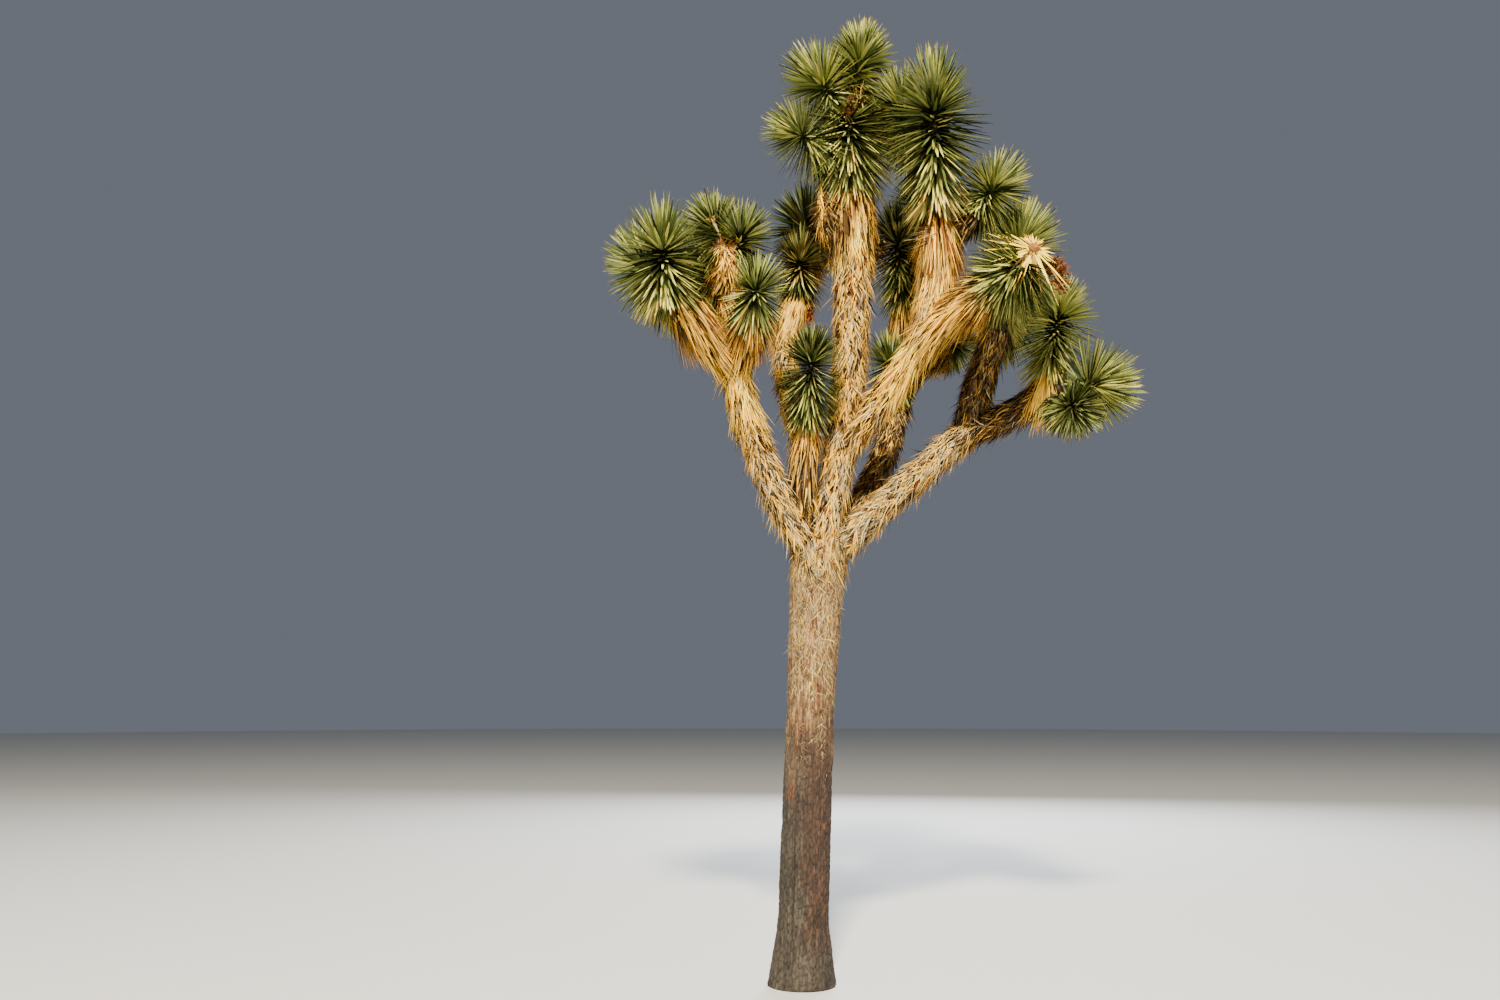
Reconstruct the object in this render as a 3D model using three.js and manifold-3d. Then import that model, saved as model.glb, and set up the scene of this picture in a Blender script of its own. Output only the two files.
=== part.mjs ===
// A Joshua tree, the yucca that grows as a tree: one leaning trunk, boughs clad in dead leaves, and a
// head of stiff green leaves round every live tip.
// Millimetres: X to the right, Y to the back, Z up. The origin is the middle of the flat cut under the trunk.
import * as THREE from "three";
import Module from "manifold-3d";

const wasm = await Module();
wasm.setup();

// The trunk, from the ground to its crotch
const TRUNK_TOP = [112, 0, 2310];
const TRUNK_BOW = [-12, 0, 0];
const TRUNK_SIDES = 18;
const TRUNK_STEPS = 15;
const FLARE = { radius: 182, height: 330 };
const WAIST = { radius: 128, height: 1480 };
const SHAFT_FOOT_RADIUS = 137;
const CROTCH_RADIUS = 152;

// The boughs: dead leaves lie so thick on them that a bough widens towards the head it carries
const BOUGH_SIDES = 8;
const BOUGH_STEPS = 5;
const SKIRT_START = 2.2;
const GAP = 0.35;

// The heads of leaves
const CORE_SIDES = 6;
const CORE_SHARE = 0.5;
const CROWDED_SHARE = 0.62;
// A core's radii from its foot to its end, how far it stands past the growing tip in leaf lengths,
// and the cosines of the lowest and the highest leaf's lean from its stem
const ROUND = { radii: [0.75, 1, 0.98, 0.45], past: 0.3, lowest: -0.8, highest: 0.96 };
const SLEEVE = { radii: [0.85, 1, 1, 0.8], past: 0, lowest: -0.62, highest: 0.45 };
// A leaf's width, its keel's depth and how deep its base is sunk, as shares of its head's leaf length
// and of the core's radius
const LEAF_WIDTH_SHARE = 0.32;
const LEAF_KEEL_SHARE = 0.11;
const LEAF_BASE = 0.45;
const LEAVES_PER_METRE = 24;
const LEAVES_AT_TIP = 20;
const LOWEST_ROOT = 0.25;
const HIGHEST_ROOT = 0.93;
const ROOT_CROWDING = 1.5;
const GOLDEN_ANGLE = Math.PI * (3 - Math.sqrt(5));
// How much shorter than an upright leaf one that stands out sideways is, and how much leaves differ by chance
const SIDEWAYS_LOSS = 0.1;
const LENGTH_SPREAD = 0.08;
const LEAF_LENGTHS = [1, 0.85, 0.7];
const LEAF_TESTS = 16;
const LEAF_CLEARANCE = 1.5;
const SEED = 7;

const COLOURS = {
  bark: 0x7c6350,
  thatch: 0xb3925f,
  leaves: 0x6c7a3c,
  stalk: 0x8a5a3c,
};

// Where boughs fork or end: right, back and up from the foot of the trunk
const PLACES = {
  crotch: [104, 0, 2215],
  leftFork: [-350, -250, 3290],
  leftArmEnd: [-609, -380, 3554],
  leftStubTop: [-413, -220, 3964],
  leftInnerEnd: [-262, -420, 3469],
  midLeftFork: [38, -100, 2894],
  midLeftEnd: [10, 350, 3848],
  midBackEnd: [84, 530, 4170],
  centreFork: [221, 0, 2812],
  centreTop: [313, 50, 4371],
  crownStemTop: [304, -40, 4850],
  rightFork: [666, -300, 3409],
  rightColumnTop: [768, -300, 4021],
  rightHighEnd: [958, -240, 4130],
  rightBackEnd: [690, -60, 4560],
  rightSideEnd: [950, -450, 3609],
  sideStemTop: [1214, -520, 3790],
  lowRightFork: [972, 150, 3005],
  riserEnd: [1138, 0, 3556],
  lowRightEnd: [1418, 100, 3229],
  farRightEnd: [1200, 550, 3600],
  backFork: [567, 450, 3021],
  backLeftEnd: [698, 600, 3865],
  backRightEnd: [891, 600, 3583],
  farBackEnd: [800, 700, 4290],
};

// name, from, to, bow of its middle, radius at the root, radius at the skirt under its head
const BOUGHS = [
  ["central_bough", "crotch", "centreFork", [8, 0, 0], 104, 96],
  ["left_bough", "crotch", "leftFork", [-84, 5, 37], 96, 76],
  ["low_right_bough", "crotch", "lowRightFork", [24, -20, 26], 92, 88],
  ["mid_left_bough", "crotch", "midLeftFork", [-44, 0, -6], 66, 82],
  ["back_bough", "crotch", "backFork", [30, 30, -20], 86, 82],
  ["left_arm", "leftFork", "leftArmEnd", [-10, 0, -18], 80, 118],
  ["left_stub", "leftFork", "leftStubTop", [14, -10, 0], 66, 46],
  ["left_inner_arm", "leftFork", "leftInnerEnd", [12, -20, -12], 66, 74],
  ["mid_left_arm", "midLeftFork", "midLeftEnd", [-84, -20, 0], 74, 84],
  ["mid_back_arm", "midLeftEnd", "midBackEnd", [0, 24, -10], 60, 64],
  ["upper_bough", "centreFork", "centreTop", [44, 24, 0], 100, 142],
  ["crown_stem", "centreTop", "crownStemTop", [0, 0, 0], 70, 52],
  ["right_bough", "centreFork", "rightFork", [30, 0, 26], 80, 82],
  ["right_column", "rightFork", "rightColumnTop", [24, 0, 0], 92, 104],
  ["right_high_arm", "rightColumnTop", "rightHighEnd", [10, 0, -24], 60, 58],
  ["right_back_arm", "rightColumnTop", "rightBackEnd", [10, 60, -20], 60, 58],
  ["right_side_arm", "rightFork", "rightSideEnd", [0, -10, 26], 74, 106],
  ["side_stem", "rightSideEnd", "sideStemTop", [0, 0, -10], 66, 50],
  ["low_right_riser", "lowRightFork", "riserEnd", [-16, 24, 0], 84, 92],
  ["low_right_arm", "lowRightFork", "lowRightEnd", [30, 24, -14], 88, 96],
  ["far_right_arm", "lowRightFork", "farRightEnd", [0, 40, -40], 74, 82],
  ["back_left_arm", "backFork", "backLeftEnd", [14, 50, 0], 78, 94],
  ["back_right_arm", "backFork", "backRightEnd", [-55, 0, 55], 60, 66],
  ["far_back_arm", "backLeftEnd", "farBackEnd", [0, 30, 0], 64, 70],
];

// name, the bough it grows on, where its stem starts along that bough, its growing tip, its leaves' length,
// and its core where that is a sleeve round the bough
const HEADS = [
  ["left_head", "left_arm", 1, [-741, -550, 3875], 320],
  ["left_outer_head", "left_arm", 0.9, [-868, -190, 3900], 290],
  ["left_back_head", "left_stub", 0.45, [-600, 60, 4010], 280],
  ["left_high_head", "left_stub", 0.82, [-478, -70, 4175], 250],
  ["left_small_head", "left_stub", 0.76, [-318, -190, 4072], 230],
  ["left_front_head", "left_inner_arm", 1, [-241, -560, 3640], 215],
  ["mid_front_head", "mid_left_bough", 1, [68, -240, 3370], 190],
  ["mid_head", "mid_left_arm", 1, [28, 290, 4110], 230],
  ["mid_back_head", "mid_back_arm", 1, [90, 600, 4450], 280],
  ["crown_head", "crown_stem", 0, [304, -40, 4840], 290, SLEEVE],
  ["top_head", "crown_stem", 1, [392, 80, 5300], 280],
  ["top_left_head", "crown_stem", 0.92, [136, -30, 5075], 290],
  ["top_side_head", "crown_stem", 0.4, [-10, -110, 4720], 230],
  ["top_back_head", "crown_stem", 0.86, [470, 420, 5030], 280],
  ["right_head", "right_column", 1, [740, -420, 4800], 330],
  ["right_back_head", "right_back_arm", 1, [618, 20, 4960], 270],
  ["right_high_head", "right_high_arm", 1, [1119, -200, 4362], 250],
  ["right_side_head", "side_stem", 0, [1210, -518, 3780], 270, SLEEVE],
  ["riser_head", "low_right_riser", 1, [1308, 60, 4142], 280],
  ["riser_back_head", "low_right_riser", 0.96, [1300, 330, 3980], 250],
  ["low_right_head", "low_right_arm", 1, [1530, 90, 3736], 225],
  ["low_outer_head", "low_right_arm", 0.98, [1660, -100, 3220], 290],
  ["low_under_head", "low_right_arm", 0.98, [1527, -170, 3070], 200],
  ["back_left_head", "back_left_arm", 0.94, [640, 520, 4340], 260],
  ["back_low_head", "back_left_arm", 0.3, [567, 420, 3520], 210],
  ["back_right_head", "back_right_arm", 1, [1028, 700, 3702], 200],
  ["far_right_head", "far_right_arm", 1, [1400, 620, 3860], 260],
  ["far_back_head", "far_back_arm", 1, [850, 790, 4680], 270],
];

// name, the bough it grows on, where along it, its tip, its radius at the foot
const OLD_STALKS = [
  ["right_old_stalk", "side_stem", 1, [1402, -450, 3750], 20],
  ["left_old_stalk", "left_stub", 1, [-452, -238, 4105], 9],
];
const STALK_LUMPS = 3;
const STALK_STEPS = 9;
const STALK_SIDES = 6;

const vec = (p) => new THREE.Vector3(...p);
const mix = THREE.MathUtils.lerp;

// Whole numbers in, an even spread of numbers from 0 to 1 out, the same every time
function seeded(i, salt) {
  const x = Math.sin((i + 1) * 12.9898 + (salt + SEED) * 78.233) * 43758.5453;
  return x - Math.floor(x);
}

// A closed solid from corner points and the triangles between them
function solidFrom(points, triangles) {
  const vertProperties = new Float32Array(points.flatMap((p) => [p.x, p.y, p.z]));
  const triVerts = new Uint32Array(triangles.flat());
  return new wasm.Manifold(new wasm.Mesh({ numProp: 3, vertProperties, triVerts }));
}

// The largest piece of a solid, so that a loose scrap left by a cut is dropped
function largest(solid) {
  return solid.decompose().reduce((a, b) => (a.volume() > b.volume() ? a : b));
}

// Rings of corners joined into a skin, closed by a fan at each end
function skin(rings) {
  const sides = rings[0].length;
  const points = rings.flat();
  const triangles = [];
  for (let i = 0; i < rings.length - 1; i++) {
    for (let j = 0; j < sides; j++) {
      const a = i * sides + j;
      const b = i * sides + ((j + 1) % sides);
      triangles.push([a, b, b + sides], [a, b + sides, a + sides]);
    }
  }
  const last = (rings.length - 1) * sides;
  for (let j = 1; j < sides - 1; j++) {
    triangles.push([0, j + 1, j], [last, last + j, last + j + 1]);
  }
  return solidFrom(points, triangles);
}

// A curve from one place to another whose middle is pushed aside by the bow
function bowed(from, to, bow) {
  const control = from.clone().add(to).multiplyScalar(0.5).addScaledVector(bow, 2);
  return new THREE.QuadraticBezierCurve3(from, control, to);
}

// A round skin along a curve. Grown, it is thicker and longer by that much all round
function sweep({ curve, radiusAt, steps, sides, level }, grow = 0) {
  const frames = curve.computeFrenetFrames(steps, false);
  const rings = [];
  for (let i = 0; i <= steps; i++) {
    const t = i / steps;
    const along = (i === steps ? 1 : i === 0 ? -1 : 0) * grow;
    const middle = curve.getPointAt(t).addScaledVector(frames.tangents[i], along);
    const across = level ? vec([1, 0, 0]) : frames.normals[i];
    const up = level ? vec([0, 1, 0]) : frames.binormals[i];
    const radius = radiusAt(t) + grow;
    rings.push(
      Array.from({ length: sides }, (_, j) => {
        const turn = (2 * Math.PI * j) / sides;
        return middle
          .clone()
          .addScaledVector(across, radius * Math.cos(turn))
          .addScaledVector(up, radius * Math.sin(turn));
      }),
    );
  }
  return skin(rings);
}

// The trunk's radius: a flared foot, a waist, and a swelling where the boughs part
function trunkRadius(t) {
  const height = t * TRUNK_TOP[2];
  const flare = Math.max(0, 1 - height / FLARE.height);
  const foot = SHAFT_FOOT_RADIUS + (FLARE.radius - SHAFT_FOOT_RADIUS) * flare ** 1.6;
  if (height < WAIST.height) {
    return mix(foot, WAIST.radius, (height / WAIST.height) ** 2);
  }
  const rise = (height - WAIST.height) / (TRUNK_TOP[2] - WAIST.height);
  return mix(WAIST.radius, CROTCH_RADIUS, rise);
}

function trunkShape() {
  const curve = bowed(vec([0, 0, 0]), vec(TRUNK_TOP), vec(TRUNK_BOW));
  return { curve, radiusAt: trunkRadius, steps: TRUNK_STEPS, sides: TRUNK_SIDES, level: true };
}

function boughShape([, from, to, bow, root, skirt]) {
  const curve = bowed(vec(PLACES[from]), vec(PLACES[to]), vec(bow));
  const radiusAt = (t) => mix(root, skirt, t ** SKIRT_START);
  return { curve, radiusAt, steps: BOUGH_STEPS, sides: BOUGH_SIDES };
}

// Centre points and radii along a limb, for measuring how far a leaf is from it
function beads({ curve, radiusAt }, count = 12) {
  const at = (i) => ({ point: curve.getPointAt(i / count), radius: radiusAt(i / count) });
  return Array.from({ length: count + 1 }, (_, i) => at(i));
}

// How far a point is from a limb, which ends flat: negative inside it
function distanceToBeads(point, limb) {
  let least = Infinity;
  for (let i = 0; i < limb.length - 1; i++) {
    const axis = limb[i + 1].point.clone().sub(limb[i].point);
    const length = axis.length();
    const offset = point.clone().sub(limb[i].point);
    const along = offset.dot(axis) / length;
    const radius = mix(limb[i].radius, limb[i + 1].radius, THREE.MathUtils.clamp(along / length, 0, 1));
    const beside = Math.sqrt(Math.max(0, offset.lengthSq() - along * along)) - radius;
    const beyond = Math.max(-along, along - length);
    const distance = beyond > 0 ? Math.hypot(beyond, Math.max(0, beside)) : beside;
    least = Math.min(least, distance);
  }
  return least;
}

const shapes = new Map([["trunk", trunkShape()]]);
for (const bough of BOUGHS) {
  shapes.set(bough[0], boughShape(bough));
}

// How far a point is from a line, and how far along it the nearest place is
function toLine(point, line) {
  const share = line.closestPointToPointParameter(point, true);
  return { share, distance: point.distanceTo(line.at(share, new THREE.Vector3())) };
}

// A head is a stem from its bough to its growing tip, with a core of leaf bases round it,
// slimmer where another head is near
const stems = HEADS.map(([, bough, start, tip]) => {
  return new THREE.Line3(shapes.get(bough).curve.getPointAt(start), vec(tip));
});

function headShape([name, bough, , , leaf, core = ROUND], i) {
  const stem = stems[i];
  const middle = stem.at(0.5, new THREE.Vector3());
  const others = stems.filter((other) => other !== stem);
  const nearest = Math.min(...others.map((other) => toLine(middle, other).distance));
  const sleeved = core === SLEEVE ? bough : null;
  const widest = sleeved ? CORE_SHARE * leaf : Math.min(CORE_SHARE * leaf, CROWDED_SHARE * nearest);
  const steps = core.radii.length - 1;
  const radiusAt = (t) => {
    const ring = Math.min(steps - 1, Math.floor(t * steps));
    return widest * mix(core.radii[ring], core.radii[ring + 1], t * steps - ring);
  };
  const end = stem.at(1 + (core.past * leaf) / stem.distance(), new THREE.Vector3());
  const curve = new THREE.LineCurve3(stem.start, end);
  const axis = new THREE.Line3(stem.start, end);
  return { name, stem, axis, curve, radiusAt, steps, sides: CORE_SIDES, leaf, core, sleeved };
}

const heads = HEADS.map(headShape);
const limbs = [...shapes].map(([name, shape]) => ({ name, beads: beads(shape) }));

// How far a point is from the middle line of a head's core, and the core's radius there
function toCore(point, head) {
  const { share, distance } = toLine(point, head.axis);
  return { distance, radius: head.radiusAt(share) };
}

// Outside its own core, a leaf keeps to its head's own space, which is what lies nearer the middle line
// of its core than any other, and stays clear of every limb and of the other heads' cores
function isClear(head, base, direction, length) {
  const boughs = limbs.filter(({ name }) => name !== head.sleeved);
  const others = heads.filter((other) => other !== head);
  for (let i = 0; i <= LEAF_TESTS; i++) {
    const share = i / LEAF_TESTS;
    const point = base.clone().addScaledVector(direction, length * share);
    const room = (head.leaf * LEAF_WIDTH_SHARE * (1 - share)) / 2 + LEAF_CLEARANCE;
    const own = toCore(point, head);
    if (own.distance < own.radius) continue;
    const crowded = others.some((other) => {
      const { distance, radius } = toCore(point, other);
      return distance < radius + room || (distance - own.distance) / 2 < room;
    });
    if (crowded || boughs.some((bough) => distanceToBeads(point, bough.beads) < room)) return false;
  }
  return true;
}

// A stiff leaf like a dagger, flat above and keeled below: a triangle inside the core, drawn out to a point
function leafSolid(base, direction, axis, length, size) {
  const flat = axis.clone().addScaledVector(direction, -axis.dot(direction)).normalize();
  const side = direction.clone().cross(flat);
  const points = [
    base.clone().addScaledVector(side, (size * LEAF_WIDTH_SHARE) / 2),
    base.clone().addScaledVector(side, (-size * LEAF_WIDTH_SHARE) / 2),
    base.clone().addScaledVector(flat, -size * LEAF_KEEL_SHARE),
    base.clone().addScaledVector(direction, length),
  ];
  return solidFrom(points, [[0, 1, 2], [1, 0, 3], [2, 1, 3], [0, 2, 3]]);
}

// Leaves follow each other round the stem by the golden angle, from drooping ones at its foot
// to upright ones at its growing tip, where they stand closest
function leavesOf(head, salt) {
  const axis = head.stem.delta(new THREE.Vector3()).normalize();
  const across = new THREE.Vector3(1, 0, 0).cross(axis).normalize();
  const count = Math.round(LEAVES_AT_TIP + (LEAVES_PER_METRE * head.stem.distance()) / 1000);
  const leaves = [];
  for (let i = 0; i < count; i++) {
    const rise = (i + 0.5) / count;
    const cosine = mix(head.core.lowest, head.core.highest, rise) + 0.05 * (seeded(i, salt) - 0.5);
    const tilt = Math.acos(THREE.MathUtils.clamp(cosine, -1, 1));
    const round = across.clone().applyAxisAngle(axis, i * GOLDEN_ANGLE + salt);
    const direction = axis.clone().multiplyScalar(Math.cos(tilt)).addScaledVector(round, Math.sin(tilt));
    const climb = 1 - (1 - rise) ** ROOT_CROWDING;
    const root = head.stem.at(mix(LOWEST_ROOT, HIGHEST_ROOT, climb), new THREE.Vector3());
    const sunk = LEAF_BASE * toCore(root, head).radius;
    const base = root.addScaledVector(direction, sunk);
    const loss = SIDEWAYS_LOSS * Math.sin(tilt) + LENGTH_SPREAD * seeded(i, salt + 50);
    const reach = head.leaf * (1 - loss) - sunk;
    const fitting = LEAF_LENGTHS.find((share) => isClear(head, base, direction, reach * share));
    if (fitting) {
      leaves.push(leafSolid(base, direction, axis, reach * fitting, head.leaf));
    }
  }
  return leaves;
}

// A dead flower stalk: a slim cone with a few swollen knuckles where its flowers hung
function stalkShape([, bough, start, tip, radius]) {
  const curve = new THREE.LineCurve3(shapes.get(bough).curve.getPointAt(start), vec(tip));
  const knuckle = (t) => 1 + 0.5 * Math.sin(Math.PI * STALK_LUMPS * t) ** 2 * Math.sign(t);
  const radiusAt = (t) => radius * mix(1, 0.45, t) * knuckle(t);
  return { curve, radiusAt, steps: STALK_STEPS, sides: STALK_SIDES };
}

// Every solid placed so far, with the grown copy that later ones are cut back from
const placed = [];

function boxesMeet(a, b) {
  const [one, two] = [a.boundingBox(), b.boundingBox()];
  return [0, 1, 2].every((k) => one.min[k] <= two.max[k] && two.min[k] <= one.max[k]);
}

// Cuts a solid clear of those placed before it, other than the one of its own name
function cutClear(solid, own) {
  for (const { name, grown } of placed) {
    if (name !== own && boxesMeet(solid, grown)) {
      solid = solid.subtract(grown);
    }
  }
  return solid;
}

function toMesh(name, solid, colour, roughness) {
  const { numProp, vertProperties, triVerts } = solid.getMesh();
  const position = new Float32Array((vertProperties.length / numProp) * 3);
  for (let i = 0; i < position.length / 3; i++) {
    position.set(vertProperties.subarray(i * numProp, i * numProp + 3), i * 3);
  }
  const geometry = new THREE.BufferGeometry()
    .setAttribute("position", new THREE.BufferAttribute(position, 3))
    .setIndex(new THREE.BufferAttribute(triVerts, 1));
  geometry.computeVertexNormals();
  const material = new THREE.MeshStandardMaterial({ color: colour, roughness, metalness: 0 });
  const mesh = new THREE.Mesh(geometry, material);
  mesh.name = name;
  return mesh;
}

const tree = new THREE.Group();

function place(name, shape, colour, roughness) {
  const solid = largest(cutClear(sweep(shape)));
  placed.push({ name, grown: sweep(shape, GAP) });
  tree.add(toMesh(name, solid, colour, roughness));
}

for (const [name, shape] of shapes) {
  place(name, shape, name === "trunk" ? COLOURS.bark : COLOURS.thatch, 0.95);
}
for (const stalk of OLD_STALKS) {
  const shape = stalkShape(stalk);
  limbs.push({ name: stalk[0], beads: beads(shape) });
  place(stalk[0], shape, COLOURS.stalk, 0.9);
}

const cores = heads.map((head) => {
  const core = largest(cutClear(sweep(head)));
  placed.push({ name: head.name, grown: sweep(head, GAP) });
  return core;
});
heads.forEach((head, i) => {
  const leaves = cutClear(wasm.Manifold.union(leavesOf(head, i)), head.name);
  const mass = largest(cores[i].add(leaves));
  tree.add(toMesh(head.name, mass, COLOURS.leaves, 0.6));
});

export default tree;
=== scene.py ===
import math

import bpy
import numpy as np
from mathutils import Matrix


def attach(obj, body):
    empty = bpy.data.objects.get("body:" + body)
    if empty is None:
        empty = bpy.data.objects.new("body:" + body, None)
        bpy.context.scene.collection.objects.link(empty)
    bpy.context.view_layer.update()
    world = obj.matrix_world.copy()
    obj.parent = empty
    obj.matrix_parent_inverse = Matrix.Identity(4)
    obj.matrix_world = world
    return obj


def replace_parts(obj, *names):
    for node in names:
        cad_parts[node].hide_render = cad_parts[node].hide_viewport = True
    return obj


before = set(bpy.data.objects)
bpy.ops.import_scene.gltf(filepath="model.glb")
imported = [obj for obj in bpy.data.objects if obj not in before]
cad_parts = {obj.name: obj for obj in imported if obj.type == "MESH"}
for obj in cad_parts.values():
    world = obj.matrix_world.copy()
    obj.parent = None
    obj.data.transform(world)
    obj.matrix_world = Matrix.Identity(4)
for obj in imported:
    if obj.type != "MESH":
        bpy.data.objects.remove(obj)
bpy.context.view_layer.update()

# A Joshua tree. Metres: X to the right, Y to the back, Z up, from the middle of the trunk's flat foot.
# Limbs are round skins along bowed lines, and every leaf is a three-sided dagger worked out by arrays.
draw = np.random.default_rng(20)

# The trunk, from the ground to its crotch
TRUNK_TOP = (0.112, 0, 2.31)
TRUNK_BOW = (-0.012, 0, 0)
FLARE_RADIUS = 0.182
FLARE_HEIGHT = 0.33
SHAFT_FOOT_RADIUS = 0.137
WAIST_RADIUS = 0.128
WAIST_HEIGHT = 1.48
CROTCH_RADIUS = 0.152
SHAGGY_FROM = 1.0

# Where boughs fork or end
PLACES = {
    "crotch": (0.104, 0, 2.215),
    "leftFork": (-0.35, -0.25, 3.29),
    "leftArmEnd": (-0.609, -0.38, 3.554),
    "leftStubTop": (-0.413, -0.22, 3.964),
    "leftInnerEnd": (-0.262, -0.42, 3.469),
    "midLeftFork": (0.038, -0.1, 2.894),
    "midLeftEnd": (0.01, 0.35, 3.848),
    "midBackEnd": (0.084, 0.53, 4.17),
    "centreFork": (0.221, 0, 2.812),
    "centreTop": (0.313, 0.05, 4.371),
    "crownStemTop": (0.304, -0.04, 4.85),
    "rightFork": (0.666, -0.3, 3.409),
    "rightColumnTop": (0.768, -0.3, 4.021),
    "rightHighEnd": (0.958, -0.24, 4.13),
    "rightBackEnd": (0.69, -0.06, 4.56),
    "rightSideEnd": (0.95, -0.45, 3.609),
    "sideStemTop": (1.214, -0.52, 3.79),
    "lowRightFork": (0.972, 0.15, 3.005),
    "riserEnd": (1.138, 0, 3.556),
    "lowRightEnd": (1.418, 0.1, 3.229),
    "farRightEnd": (1.2, 0.55, 3.6),
    "backFork": (0.567, 0.45, 3.021),
    "backLeftEnd": (0.698, 0.6, 3.865),
    "backRightEnd": (0.891, 0.6, 3.583),
    "farBackEnd": (0.8, 0.7, 4.29),
}

# name, from, to, bow of its middle, radius at the root, radius at the skirt under its head,
# and how weathered its dead leaves are, from 0 for fresh straw to 1 for old and grey
BOUGHS = [
    ("central_bough", "crotch", "centreFork", (0.008, 0, 0), 0.104, 0.096, 0.85),
    ("left_bough", "crotch", "leftFork", (-0.084, 0.005, 0.037), 0.096, 0.076, 0.6),
    ("low_right_bough", "crotch", "lowRightFork", (0.024, -0.02, 0.026), 0.092, 0.088, 0.8),
    ("mid_left_bough", "crotch", "midLeftFork", (-0.044, 0, -0.006), 0.066, 0.082, 0.75),
    ("back_bough", "crotch", "backFork", (0.03, 0.03, -0.02), 0.086, 0.082, 0.9),
    ("left_arm", "leftFork", "leftArmEnd", (-0.01, 0, -0.018), 0.08, 0.118, 0.15),
    ("left_stub", "leftFork", "leftStubTop", (0.014, -0.01, 0), 0.066, 0.046, 0.4),
    ("left_inner_arm", "leftFork", "leftInnerEnd", (0.012, -0.02, -0.012), 0.066, 0.074, 0.2),
    ("mid_left_arm", "midLeftFork", "midLeftEnd", (-0.084, -0.02, 0), 0.074, 0.084, 0.35),
    ("mid_back_arm", "midLeftEnd", "midBackEnd", (0, 0.024, -0.01), 0.06, 0.064, 0.3),
    ("upper_bough", "centreFork", "centreTop", (0.044, 0.024, 0), 0.1, 0.142, 0.4),
    ("crown_stem", "centreTop", "crownStemTop", (0, 0, 0), 0.07, 0.052, 0.1),
    ("right_bough", "centreFork", "rightFork", (0.03, 0, 0.026), 0.08, 0.082, 0.45),
    ("right_column", "rightFork", "rightColumnTop", (0.024, 0, 0), 0.092, 0.104, 0.15),
    ("right_high_arm", "rightColumnTop", "rightHighEnd", (0.01, 0, -0.024), 0.06, 0.058, 0.2),
    ("right_back_arm", "rightColumnTop", "rightBackEnd", (0.01, 0.06, -0.02), 0.06, 0.058, 0.2),
    ("right_side_arm", "rightFork", "rightSideEnd", (0, -0.01, 0.026), 0.074, 0.106, 0.1),
    ("side_stem", "rightSideEnd", "sideStemTop", (0, 0, -0.01), 0.066, 0.05, 0.1),
    ("low_right_riser", "lowRightFork", "riserEnd", (-0.016, 0.024, 0), 0.084, 0.092, 0.5),
    ("low_right_arm", "lowRightFork", "lowRightEnd", (0.03, 0.024, -0.014), 0.088, 0.096, 0.55),
    ("far_right_arm", "lowRightFork", "farRightEnd", (0, 0.04, -0.04), 0.074, 0.082, 0.4),
    ("back_left_arm", "backFork", "backLeftEnd", (0.014, 0.05, 0), 0.078, 0.094, 0.4),
    ("back_right_arm", "backFork", "backRightEnd", (-0.055, 0, 0.055), 0.06, 0.066, 0.8),
    ("far_back_arm", "backLeftEnd", "farBackEnd", (0, 0.03, 0), 0.064, 0.07, 0.3),
]
# The power of the share along a bough that takes its radius from the root's to the skirt's
SKIRT_POWER = 2.2

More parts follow.
